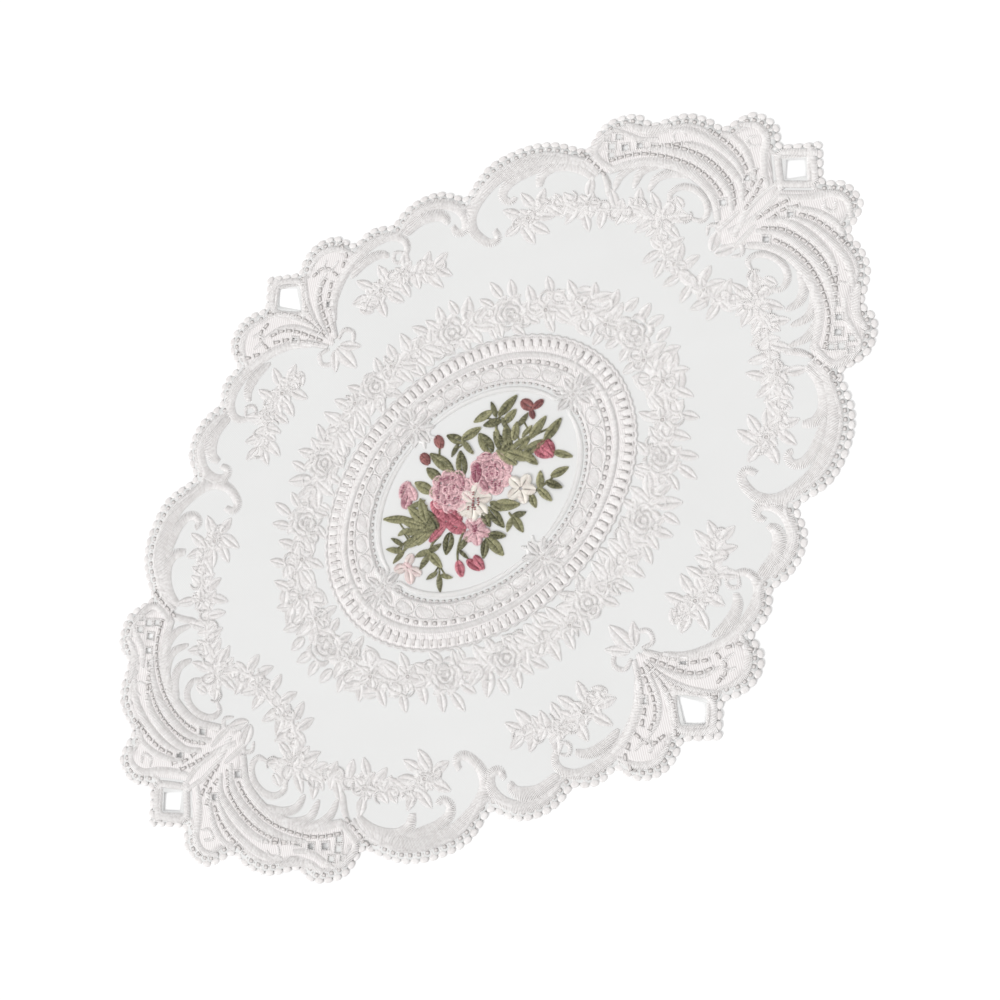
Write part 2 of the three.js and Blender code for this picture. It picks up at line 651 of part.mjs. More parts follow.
// The bouquet's pieces, each kept clear of those stitched before it
function bouquet() {
  const pieces = [];
  const taken = [];
  for (const row of BLOOMS) {
    pieces.push({ name: row.name, solid: clearOf(bloom(row), taken), thread: row.thread });
    taken.push(bloomMargin(row));
  }
  for (const row of SPRIGS) {
    pieces.push({ name: row.name, solid: clearOf(sprig(row), taken), thread: 'leaf' });
    taken.push(sprig(row, MARGIN));
  }
  return pieces;
}

function namedMesh(name, solid, thread, finish) {
  const material = new THREE.MeshStandardMaterial({ ...finish, color: THREADS[thread] });
  const mesh = new THREE.Mesh(toGeometry(solid), material);
  mesh.name = name;
  return mesh;
}

const placemat = new THREE.Group();
placemat.add(namedMesh('lace_cloth', laceCloth(), 'white', LACE_FINISH));
for (const { name, solid, thread } of bouquet()) {
  placemat.add(namedMesh(name, solid, thread, BOUQUET_FINISH));
}

export default placemat;
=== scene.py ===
"""Looks of the lace placemat: sheer voile, white satin-stitch lace and a small coloured bouquet.

Plan places and sizes are in millimetres, as a digitised embroidery card gives them, and MM turns
them to metres. +X runs along the mat, +Y across it, and the lace is the same in all four quarters.
"""

import logging
import math
from collections.abc import Iterator, Sequence
from dataclasses import dataclass, field
from enum import Enum
from typing import ClassVar

import bmesh
import bpy
import numpy as np
from mathutils import Matrix, Vector
from mathutils.geometry import delaunay_2d_cdt


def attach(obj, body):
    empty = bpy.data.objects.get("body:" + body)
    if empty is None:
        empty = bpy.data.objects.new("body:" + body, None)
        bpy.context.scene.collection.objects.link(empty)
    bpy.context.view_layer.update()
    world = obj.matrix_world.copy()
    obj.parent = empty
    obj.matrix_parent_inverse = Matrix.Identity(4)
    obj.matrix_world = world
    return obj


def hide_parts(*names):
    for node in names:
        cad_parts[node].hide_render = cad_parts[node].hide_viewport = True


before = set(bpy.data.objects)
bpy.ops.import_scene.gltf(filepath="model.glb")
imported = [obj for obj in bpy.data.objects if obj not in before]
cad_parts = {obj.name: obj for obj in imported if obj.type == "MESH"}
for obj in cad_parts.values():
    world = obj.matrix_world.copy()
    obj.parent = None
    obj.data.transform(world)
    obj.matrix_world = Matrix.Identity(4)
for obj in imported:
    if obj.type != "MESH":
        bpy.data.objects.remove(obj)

log = logging.getLogger("placemat")

Point = tuple[float, float]
Line = np.ndarray
# The points that a line passes, and a row of numbers in a table
Course = tuple[Point, ...]
Row = tuple[float, ...]
Solid = tuple[list[tuple[float, float, float]], list[tuple[int, ...]]]

MM = 0.001
HALF_LENGTH = 225.0
HALF_WIDTH = 157.0
CLOTH_HEIGHT = 0.6
CLOTH_THICKNESS = 0.25
STITCH_BASE = CLOTH_HEIGHT + CLOTH_THICKNESS / 2
LINE_STEP = 1.2
SAME_PLACE = 0.4
# The share of its distance that an inner path has to keep, and the lowest that stitches reach
CLEAR_SHARE = 0.97
LOWEST = 0.02
# Pitch and thread width of a bed whose shapes stand by themselves
SINGLE_SHAPES = (0.2, 1.0)
QUARTERS = ((1, 1), (-1, 1), (-1, -1), (1, -1))


# Small helpers for lines, colours and nodes


def smooth_line(through: Sequence[Point], step: float = LINE_STEP) -> Line:
    """Draws a smooth line through given points.

    Args:
        through: The points that the line passes, in millimetres.
        step: The spacing of the points that come back.

    Returns:
        The line's points, as an array of n rows of x and y.
    """
    hand = np.asarray(through, float)
    ends = np.vstack([2 * hand[0] - hand[1], hand, 2 * hand[-1] - hand[-2]])
    pieces = []
    for i in range(1, len(ends) - 2):
        before, start, stop, after = ends[i - 1 : i + 3]
        count = max(2, round(np.linalg.norm(stop - start) / step))
        t = np.arange(count)[:, None] / count
        bend = (2 * before - 5 * start + 4 * stop - after) * t**2
        swing = (3 * start - before - 3 * stop + after) * t**3
        pieces.append(0.5 * (2 * start + (stop - before) * t + bend + swing))
    return np.vstack([*pieces, hand[-1:]])


def oval(half_x: float, half_y: float, start: float = 0.0, stop: float = 360.0) -> Line:
    """Draws an arc of an oval, or all of it without its first point again.

    Args:
        half_x: Half of its length along X, in millimetres.
        half_y: Half of its width along Y.
        start: The angle where it starts, in degrees.
        stop: The angle where it ends.

    Returns:
        The arc's points.
    """
    whole = abs(stop - start) >= 360.0
    span = math.radians(stop - start)
    count = max(6, round(abs(span) * max(half_x, half_y) / LINE_STEP))
    angle = math.radians(start) + np.linspace(0.0, span, count, endpoint=not whole)
    return np.column_stack([half_x * np.cos(angle), half_y * np.sin(angle)])


def in_quarters(line: Line) -> Iterator[tuple[Line, int]]:
    """Repeats a line in the four quarters of the mat.

    Args:
        line: A line of the first quarter.

    Yields:
        Each mirrored line, with 1 or -1 for the hand that it has. A line that lies on an axis
        isn't given twice.
    """
    seen: list[np.ndarray] = []
    for flip_x, flip_y in QUARTERS:
        copy = line * (flip_x, flip_y)
        ends = copy[[0, len(copy) // 2, -1]]
        if any(np.abs(ends - other).max() < SAME_PLACE for other in seen):
            continue
        seen.append(ends)
        yield copy, flip_x * flip_y


def place_in_quarters(x: float, y: float) -> Iterator[tuple[np.ndarray, int]]:
    """Repeats a place in the four quarters of the mat, with the hand that each one has."""
    for spot, hand in in_quarters(np.array([[x, y]], float)):
        yield spot[0], hand


def headings(line: Line, closed: bool = False) -> np.ndarray:
    """Gives the direction of a line at each of its points.

    Args:
        line: The line's points.
        closed: Whether the last point leads back to the first.

    Returns:
        Unit vectors along the line.
    """
    if closed:
        along = np.roll(line, -1, axis=0) - np.roll(line, 1, axis=0)
    else:
        along = np.gradient(line, axis=0)
    return along / np.maximum(np.linalg.norm(along, axis=1, keepdims=True), 1e-9)


def moved_aside(line: Line, distance: float | np.ndarray, closed: bool = False) -> Line:
    """Moves a line to its left.

    Args:
        line: The line's points.
        distance: How far, in millimetres, for all points or for each.
        closed: Whether the last point leads back to the first.

    Returns:
        The moved points.
    """
    along = headings(line, closed)
    left = np.column_stack([-along[:, 1], along[:, 0]])
    return line + left * np.reshape(distance, (-1, 1))


def inset_path(path: Line, distance: float) -> Line:
    """Moves a closed path inwards and drops the points that come too close to it.

    Args:
        path: The closed path, counter-clockwise.
        distance: How far inwards, in millimetres.

    Returns:
        The points of the inner path.
    """
    moved = moved_aside(path, distance, closed=True)
    gaps = np.linalg.norm(moved[:, None, :] - path[None, :, :], axis=2).min(axis=1)
    return moved[gaps > distance * CLEAR_SHARE]


def inside(points: np.ndarray, outline: Line) -> np.ndarray:
    """Tells which points lie inside a closed outline.

    Args:
        points: The points, n rows of x and y.
        outline: The outline's points.

    Returns:
        A row of true or false.
    """
    x, y = points[:, :1], points[:, 1:]
    ax, ay = outline[:, 0], outline[:, 1]
    bx, by = np.roll(ax, -1), np.roll(ay, -1)
    spans = (ay > y) != (by > y)
    rise = np.where(by == ay, 1.0, by - ay)
    crossing = ax + (y - ay) * (bx - ax) / rise
    return (spans & (x < crossing)).sum(axis=1) % 2 == 1


def swell(x: np.ndarray, y: np.ndarray) -> np.ndarray:
    """Gives the gentle unevenness of the cloth, which all that is stitched on it follows.

    Args:
        x: Places along the mat, in millimetres.
        y: Places across it.

    Returns:
        How far the cloth stands above or below its mean height.
    """
    long_waves = 0.22 * np.sin(x / 17.0 + 1.3 * np.sin(y / 41.0))
    cross_waves = 0.16 * np.sin(y / 13.0 - x / 37.0 + 0.8)
    ripples = 0.06 * np.sin((x + 1.7 * y) / 6.5 + 2.0)
    return long_waves + cross_waves + ripples


def linear(hex_colour: str) -> tuple[float, float, float, float]:
    """Turns an sRGB hex colour to the linear values that a shader socket takes.

    Args:
        hex_colour: Six hex digits after a number sign.

    Returns:
        Red, green, blue and full alpha.
    """
    shares = [int(hex_colour[i : i + 2], 16) / 255 for i in (1, 3, 5)]
    bright = [s / 12.92 if s <= 0.04045 else ((s + 0.055) / 1.055) ** 2.4 for s in shares]
    return bright[0], bright[1], bright[2], 1.0


def add_node(
    tree: bpy.types.NodeTree, kind: str, inputs: dict[str | int, object] | None = None,
    gives: str | int = 0, **settings: object
) -> bpy.types.NodeSocket | None:
    """Adds a node to a shader or geometry tree.

    Args:
        tree: The tree.
        kind: The node's type name.
        inputs: For each socket's name or number, a value or the output socket that feeds it.
        gives: The name or number of the output socket that comes back.
        settings: The node's own properties.

    Returns:
        That output socket, or None where the node has no output.
    """
    node = tree.nodes.new(kind)
    for name, value in settings.items():
        setattr(node, name, value)
    for key, value in (inputs or {}).items():
        if isinstance(value, bpy.types.NodeSocket):
            tree.links.new(value, node.inputs[key])
        else:
            node.inputs[key].default_value = value
    return node.outputs[gives] if node.outputs else None


def new_mesh(name: str, points: np.ndarray, faces: Sequence[Sequence[int]]) -> bpy.types.Mesh:
    """Makes a mesh from points in millimetres.

    Args:
        name: The mesh's name.
        points: n rows of x, y and z.
        faces: The corners of each face.

    Returns:
        The mesh, in metres.
    """
    mesh = bpy.data.meshes.new(name)
    mesh.from_pydata((np.asarray(points, float) * MM).tolist(), [], [list(f) for f in faces])
    mesh.update()
    return mesh


def new_object(name: str, mesh: bpy.types.Mesh) -> bpy.types.Object:
    """Links a mesh into the scene as an object at the origin.

    Args:
        name: The object's name.
        mesh: The mesh.

    Returns:
        The object.
    """
    thing = bpy.data.objects.new(name, mesh)
    bpy.context.scene.collection.objects.link(thing)
    return thing


def follow_cloth(mesh: bpy.types.Mesh) -> None:
    """Lifts or lowers each point of a flat-made mesh by the cloth's own unevenness.

    Args:
        mesh: The mesh, in metres, which is changed.
    """
    flat = np.empty(len(mesh.vertices) * 3)
    mesh.vertices.foreach_get("co", flat)
    points = flat.reshape(-1, 3)
    points[:, 2] += swell(points[:, 0] / MM, points[:, 1] / MM) * MM
    points[:, 2] = np.maximum(points[:, 2], LOWEST * MM)
    mesh.vertices.foreach_set("co", points.ravel())
    mesh.update()


# Finishes


def start_material(name: str) -> tuple[bpy.types.Material, bpy.types.NodeTree, bpy.types.NodeSocket]:
    """Starts a material with an empty tree.

    Args:
        name: The material's name.

    Returns:
        The material, its tree, and the place on the object that its textures are laid by.
    """
    made = bpy.data.materials.new(name)
    made.use_nodes = True
    made.node_tree.nodes.clear()
    return made, made.node_tree, add_node(made.node_tree, "ShaderNodeTexCoord", gives="Object")


def end_material(
    tree: bpy.types.NodeTree, colours: tuple[str, str], blend: bpy.types.NodeSocket,
    relief: bpy.types.NodeSocket, looks: dict[str, float], strength: float, depth_mm: float
) -> None:
    """Ends a material with its colour, its bump and its surface.

    Args:
        tree: The material's tree.
        colours: The colours where the blend is 0 and 1.
        blend: What mixes them.
        relief: The height of the bump.
        looks: The surface's other inputs.
        strength: The strength of the bump.
        depth_mm: Its depth, in millimetres.
    """
    ends = {6: linear(colours[0]), 7: linear(colours[1])}
    colour = add_node(tree, "ShaderNodeMix", {0: blend, **ends}, 2, data_type="RGBA")
    bump_inputs = {"Height": relief, "Strength": strength, "Distance": depth_mm * MM}
    bump = add_node(tree, "ShaderNodeBump", bump_inputs)
    surface_inputs = {"Base Color": colour, "Normal": bump, **looks}
    surface = add_node(tree, "ShaderNodeBsdfPrincipled", surface_inputs)
    add_node(tree, "ShaderNodeOutputMaterial", {"Surface": surface})


def wave_scale(spacing_mm: float) -> float:
    """Gives a wave texture's scale: it repeats every pi / 10 of its scaled coordinate."""
    return math.pi / 10 / (spacing_mm * MM)


@dataclass(frozen=True)
class Voile:
    """Sheer polyester voile: plain weave, dull, and thin enough for the table to show through."""

    name: str = "polyester voile"
    thread: str = "#edeeee"
    gap: str = "#e4e4e3"
    roughness: float = 0.72
    cover: float = 0.93
    # Voile has a thread every 0.3 mm. One every 0.9 mm is drawn, which a step away can still show.
    thread_spacing_mm: float = 0.9
    slubs_per_metre: float = 60.0

    def material(self) -> bpy.types.Material:
        """Builds the material.

        Returns:
            The voile, with a crossing weave in colour and bump.
        """
        made, tree, place = start_material(self.name)
        spaced = {"Vector": place, "Scale": wave_scale(self.thread_spacing_mm)}
        warp = add_node(tree, "ShaderNodeTexWave", spaced, "Fac", bands_direction="X")
        weft = add_node(tree, "ShaderNodeTexWave", spaced, "Fac", bands_direction="Y")
        weave = add_node(tree, "ShaderNodeMath", {0: warp, 1: weft}, operation="MULTIPLY")
        slubs = {"Vector": place, "Scale": self.slubs_per_metre, "Detail": 2.0}
        slub = add_node(tree, "ShaderNodeTexNoise", slubs, "Fac")
        blend = add_node(tree, "ShaderNodeMath", {0: weave, 1: slub}, operation="MULTIPLY")
        looks = {"Roughness": self.roughness, "Alpha": self.cover, "Sheen Weight": 0.15}
        ends = (self.gap, self.thread)
        end_material(tree, ends, blend, weave, looks, strength=0.12, depth_mm=0.1)
        return made


@dataclass(frozen=True)
class SatinThread:
    """Rayon embroidery thread: soft gloss along each strand, and strands that differ a little."""

    name: str
    dark: str
    light: str
    # How far the strands differ from each other, and how far flecks of dye differ along them
    strand_change: float
    fleck_change: float
    roughness: float = 0.42
    fleck_size_mm: float = 1.1
    # Each thread is two plies of fine filaments, laid slantwise round it.
    filaments: float = 5.0
    filament_slant: float = 0.5

    def material(self) -> bpy.types.Material:
        """Builds the material.

        Returns:
            The thread, whose colour runs from dark to light with the stitch's own shade.
        """
        made, tree, place = start_material(self.name)
        shade = add_node(tree, "ShaderNodeAttribute", gives="Fac", attribute_name="shade")
        strand = add_node(tree, "ShaderNodeAttribute", gives="Fac", attribute_name="strand")
        about = {0: strand, 1: self.strand_change, 2: -self.strand_change / 2}
        drift = add_node(tree, "ShaderNodeMath", about, operation="MULTIPLY_ADD")
        flecks = {"Vector": place, "Scale": 1 / (self.fleck_size_mm * MM), "Detail": 1.0}
        dye = add_node(tree, "ShaderNodeTexNoise", flecks, "Fac")
        about = {0: dye, 1: 4 * self.fleck_change, 2: -2 * self.fleck_change}
        fleck = add_node(tree, "ShaderNodeMath", about, operation="MULTIPLY_ADD")
        uneven = add_node(tree, "ShaderNodeMath", {0: fleck, 1: drift}, operation="ADD")
        sum_of = {0: shade, 1: uneven}
        tone = add_node(tree, "ShaderNodeMath", sum_of, operation="ADD", use_clamp=True)
        along = add_node(tree, "ShaderNodeUVMap", gives="UV", uv_map="UVMap")
        slanted = {"Vector": along, "Rotation": (0.0, 0.0, self.filament_slant)}
        turned = add_node(tree, "ShaderNodeMapping", slanted)
        spaced = {"Vector": turned, "Scale": self.filaments, "Distortion": 0.6}
        plies = add_node(tree, "ShaderNodeTexWave", spaced, "Fac", bands_direction="X")
        looks = {"Roughness": self.roughness, "Sheen Weight": 0.2, "Sheen Roughness": 0.4}
        ends = (self.dark, self.light)
        end_material(tree, ends, tone, plies, looks, strength=0.18, depth_mm=0.06)
        return made


@dataclass(frozen=True)
class FillStitch:
    """Flat fill of straight polyester stitches, laid in close rows over the voile."""

    name: str = "polyester fill stitch"
    thread: str = "#efeceb"
    # The valleys between rows are painted darker than the thread: painted shade.
    valley_shade: str = "#ddd8d7"
    roughness: float = 0.6
    # Rows are 0.4 mm apart in the real fill. They are drawn 1 mm apart, so that they show.
    row_spacing_mm: float = 1.0
    turn_degrees: float = 32.0

    def material(self) -> bpy.types.Material:
        """Builds the material.

        Returns:
            The fill, with rows of stitches in bump, and painted shade in the valleys between them.
        """
        made, tree, place = start_material(self.name)
        slanted = {"Vector": place, "Rotation": (0.0, 0.0, math.radians(self.turn_degrees))}
        turned = add_node(tree, "ShaderNodeMapping", slanted)
        spaced = {"Vector": turned, "Scale": wave_scale(self.row_spacing_mm)}
        waver = {"Distortion": 1.2, "Detail": 1.0, "Detail Scale": 1.5}
        rows = add_node(tree, "ShaderNodeTexWave", {**spaced, **waver}, "Fac", bands_direction="X")
        looks = {"Roughness": self.roughness, "Sheen Weight": 0.2}
        ends = (self.valley_shade, self.thread)
        end_material(tree, ends, rows, rows, looks, strength=0.35, depth_mm=0.25)
        return made


@dataclass(frozen=True)
class NeedleHoleShade:
    """Voile pulled open by tight stitches: a small pit that little light gets into. Its grey colour is
    painted shade.
    """

    name: str = "voile in needle holes"
    # Both colours are darker than the voile: painted shade in the pit.
    light: str = "#e2dedc"
    dark: str = "#cfcac8"
    roughness: float = 0.9
    mottles_per_metre: float = 900.0

    def material(self) -> bpy.types.Material:
        """Builds the material.

        Returns:
            The dull ground of the holes, painted grey as shade and mottled by its threads.
        """
        made, tree, place = start_material(self.name)
        mottles = {"Vector": place, "Scale": self.mottles_per_metre, "Detail": 2.0}
        mottle = add_node(tree, "ShaderNodeTexNoise", mottles, "Fac")
        looks = {"Roughness": self.roughness}
        ends = (self.dark, self.light)
        end_material(tree, ends, mottle, mottle, looks, strength=0.3, depth_mm=0.1)
        return made


class Thread(Enum):
    """The threads of the mat: record slot, dark and light end, and strength of the flecks."""

    WHITE = ("white_lace", "#cec8c6", "#f5f3f2", 0.16)
    RIM = ("white_lace", "#e9e6e4", "#fcfbfa", 0.05)
    PINK = ("pink_thread", "#a2506a", "#ffdde0", 0.30)
    PALE_PINK = ("pale_pink_thread", "#ecc8cc", "#fcf1ed", 0.15)
    DEEP_ROSE = ("deep_rose_thread", "#94384c", "#f4a4b0", 0.35)
    RUSSET = ("russet_thread", "#6e3a3e", "#cc8c86", 0.30)
    CREAM = ("cream_thread", "#a8686a", "#fffaf2", 0.08)
    LEAF = ("leaf_thread", "#4b4a2c", "#c2bf96", 0.32)

    def __init__(self, slot: str, dark: str, light: str, flecks: float) -> None:
        """Keeps the slot, the colours of shade 0 and shade 1, and how strong the flecks are."""
        self.slot, self.dark, self.light, self.flecks = slot, dark, light, flecks

    def material(self) -> bpy.types.Material:
        """Gives the thread's material, built the first time that it is asked for.

        Returns:
            The material.
        """
        name = f"rayon satin thread, {self.name.lower().replace('_', ' ')}"
        found = bpy.data.materials.get(name)
        if found:
            return found
        # Threads with strong flecks have strands that differ more, too.
        differ = 0.14 + 0.8 * self.flecks
        return SatinThread(name, self.dark, self.light, differ, self.flecks).material()


# Shapes that are repeated along a line


class StitchShape(Enum):
    """The unit shapes that are repeated: X across the line, Y along it, Z up."""

    THREAD = "arched thread"
    PICOT = "picot loop with its stub"
    PAD = "padded bar"
    HOLE = "needle hole"

    def mesh(self) -> bpy.types.Mesh:
        """Builds the unit shape.

        Returns:
            One closed mesh with faces pointing out and a UV map along the thread.
        """
        makers = {"THREAD": self._arch, "PICOT": self._picot, "PAD": self._pad, "HOLE": self._pit}
        points, faces = makers[self.name]()
        mesh = bpy.data.meshes.new(self.value)
        mesh.from_pydata(points, [], faces)
        work = bmesh.new()
        work.from_mesh(mesh)
        bmesh.ops.recalc_face_normals(work, faces=work.faces)
        work.to_mesh(mesh)
        work.free()
        mesh.polygons.foreach_set("use_smooth", [True] * len(mesh.polygons))
        unwrapped = mesh.uv_layers.new(name="UVMap")
        for corner in mesh.loops:
            x, y, z = mesh.vertices[corner.vertex_index].co
            unwrapped.data[corner.index].uv = (0.5 + y * 0.5 + z * 0.25, 0.5 + x * 0.5)
        return mesh

    def _plan(self, sides: int, offset: float, roundness: float) -> list[Point]:
        """Draws a ring of radius 1.

        Args:
            sides: How many points it has.
            offset: Where the first one stands, in shares of their spacing.
            roundness: 1 for a circle, less for one with fuller corners.

        Returns:
            Its points.
        """
        turns = [math.tau * (i + offset) / sides for i in range(sides)]
        ways = [(math.cos(turn), math.sin(turn)) for turn in turns]
        return [tuple(math.copysign(abs(v) ** roundness, v) for v in way) for way in ways]

    def _arch(self) -> Solid:
        """Builds a thread that rises out of the cloth and dives back into it.

        Returns:
            Its points and its faces.
        """
        # Place along the thread and height of each cross-section, and the corners of each
        stations = ((-0.8, 0.62), (0.0, 1.0), (0.8, 0.62))
        corners = ((-0.52, -0.55), (0.0, 0.3), (0.52, -0.55))
        points = [(-1.0, 0.0, -0.3)]
        for x, crown in stations:
            points += [(x, y, crown * 0.6 + z) for y, z in corners]
        points.append((1.0, 0.0, -0.3))
        faces = [(0, 1 + j, 1 + (j + 1) % 3) for j in range(3)]
        for i in range(2):
            for j in range(3):
                near, far = 1 + 3 * i + j, 1 + 3 * i + (j + 1) % 3
                faces.append((near, near + 3, far + 3, far))
        faces += [(10, 7 + (j + 1) % 3, 7 + j) for j in range(3)]
        return points, faces

    def _picot(self) -> Solid:
        """Builds a small knot of wrapped thread, dimpled in its middle, with a stub to the mat.

        Returns:
            Its points and its faces.
        """
        points, faces = self._dome((0.06, 0.0), (0.86, 0.48), roundness=0.9, top=0.7)
        first = len(points)
        for x in (-1.5, -0.45):
            points += [(x, -0.27, 0.0), (x, 0.0, 0.9), (x, 0.27, 0.0)]
        for j in range(3):
            k = (j + 1) % 3
            faces.append((first + j, first + k, first + k + 3, first + j + 3))
        faces += [(first + 2, first + 1, first), (first + 3, first + 4, first + 5)]
        return points, faces

    def _dome(self, middle: Point, half: Point, roundness: float, top: float) -> Solid:
        """Builds a low closed dome.

        Args:
            middle: Its middle.
            half: Half its length and half its width.
            roundness: 1 for an oval plan, less for one with fuller corners.
            top: The height of its middle, under 1 for a dimple.

        Returns:
            Its points and its faces.
        """
        sides = 12
        points = [(*middle, -0.2)]
        for share, z in ((1.0, -0.1), (0.88, 0.55), (0.5, 0.95)):
            for x, y in self._plan(sides, 0.5, roundness):
                points.append((middle[0] + share * half[0] * x, middle[1] + share * half[1] * y, z))
        points.append((*middle, top))
        faces: list[tuple[int, ...]] = []
        for i in range(sides):
            k = (i + 1) % sides
            faces += [(0, 1 + k, 1 + i), (len(points) - 1, 1 + 2 * sides + i, 1 + 2 * sides + k)]
            for row in (1, 1 + sides):
                faces.append((row + i, row + k, row + sides + k, row + sides + i))
        return points, faces

    def _pad(self) -> Solid:
        """Builds a rounded bar, as satin stitches over a padding give."""
        return self._dome((0.0, 0.0), (1.0, 0.5), roundness=0.6, top=1.0)

    def _pit(self) -> Solid:
        """Builds a flat plate with round corners that fills the bottom of a needle hole.

        Returns:
            Its points and its faces.
        """
        sides = 12
        rim = [(x, 0.5 * y, 0.0) for x, y in self._plan(sides, offset=0.0, roundness=0.62)]
        points = [*rim, (0.0, 0.0, 0.02), (0.0, 0.0, -0.2)]
        faces = [(i, (i + 1) % sides, sides) for i in range(sides)]
        faces += [((i + 1) % sides, i, sides + 1) for i in range(sides)]
        return points, faces


class RowOfStitches:
    """The Geometry Nodes tree that repeats a shape along lines, and its named inputs."""

    INPUTS: ClassVar[dict[str, str]] = {
        "Lines": "NodeSocketGeometry",
        "Shape": "NodeSocketObject",
        "Pitch": "NodeSocketFloat",
        "Thread width": "NodeSocketFloat",
        "Threads sewn": "NodeSocketInt",
        "Threads left out": "NodeSocketInt",
        "Seed": "NodeSocketInt",
        "Material": "NodeSocketMaterial",
    }

    def __init__(self) -> None:
        """Builds the tree, and keeps the identifier of each of its inputs."""
        self.tree = bpy.data.node_groups.new("row of stitches", "GeometryNodeTree")
        self.socket_ids: dict[str, str] = {}
        sockets = self.tree.interface
        for name, kind in self.INPUTS.items():
            socket = sockets.new_socket(name, in_out="INPUT", socket_type=kind)
            self.socket_ids[name] = socket.identifier
        sockets.new_socket("Stitches", in_out="OUTPUT", socket_type="NodeSocketGeometry")
        self._wire()

    def _wire(self) -> None:
        """Adds and links the nodes."""
        tree = self.tree
        given = tree.nodes.new("NodeGroupInput").outputs
        curve = add_node(tree, "GeometryNodeMeshToCurve", {0: given["Lines"]})
        spaced = {"Curve": curve, "Length": given["Pitch"]}
        evenly = add_node(tree, "GeometryNodeResampleCurve", spaced, mode="LENGTH")
        reach, height, lean, width = (
            add_node(tree, "GeometryNodeInputNamedAttribute", {"Name": name}, data_type="FLOAT")
            for name in ("reach", "height", "lean", "width")
        )
        tangent = {"Vector": add_node(tree, "GeometryNodeInputTangent")}
        across = add_node(tree, "FunctionNodeAlignRotationToVector", tangent, axis="Y", pivot_axis="Z")
        slant = {"Axis": (0.0, 0.0, 1.0), "Angle": lean}
        leaning = add_node(tree, "FunctionNodeAxisAngleToRotation", slant)
        both = {0: across, 1: leaning}
        turned = add_node(tree, "FunctionNodeRotateRotation", both, rotation_space="LOCAL")
        both = {0: width, 1: given["Thread width"]}
        wide = add_node(tree, "ShaderNodeMath", both, operation="MULTIPLY")
        size = add_node(tree, "ShaderNodeCombineXYZ", {0: reach, 1: wide, 2: height})
        # Of each period of threads, the first ones are sewn.
        both = {0: given["Threads sewn"], 1: given["Threads left out"]}
        period = add_node(tree, "ShaderNodeMath", both, operation="ADD")
        both = {0: add_node(tree, "GeometryNodeInputIndex"), 1: period}
        place = add_node(tree, "ShaderNodeMath", both, operation="MODULO")
        both = {0: place, 1: given["Threads sewn"]}
        kept = add_node(tree, "ShaderNodeMath", both, operation="LESS_THAN")
        shape = add_node(tree, "GeometryNodeObjectInfo", {"Object": given["Shape"]}, "Geometry")
        laid = {"Points": evenly, "Selection": kept, "Instance": shape}
        set_out = {**laid, "Rotation": turned, "Scale": size}
        rows = add_node(tree, "GeometryNodeInstanceOnPoints", set_out)
        seed = {"Seed": given["Seed"]}
        chance = add_node(tree, "FunctionNodeRandomValue", seed, 1, data_type="FLOAT")
        strand = {"Geometry": rows, "Name": "strand", "Value": chance}
        marked = add_node(
            tree, "GeometryNodeStoreNamedAttribute", strand, data_type="FLOAT", domain="INSTANCE"
        )
        real = add_node(tree, "GeometryNodeRealizeInstances", {0: marked})
        finish = {"Geometry": real, "Material": given["Material"]}
        add_node(tree, "NodeGroupOutput", {0: add_node(tree, "GeometryNodeSetMaterial", finish)})


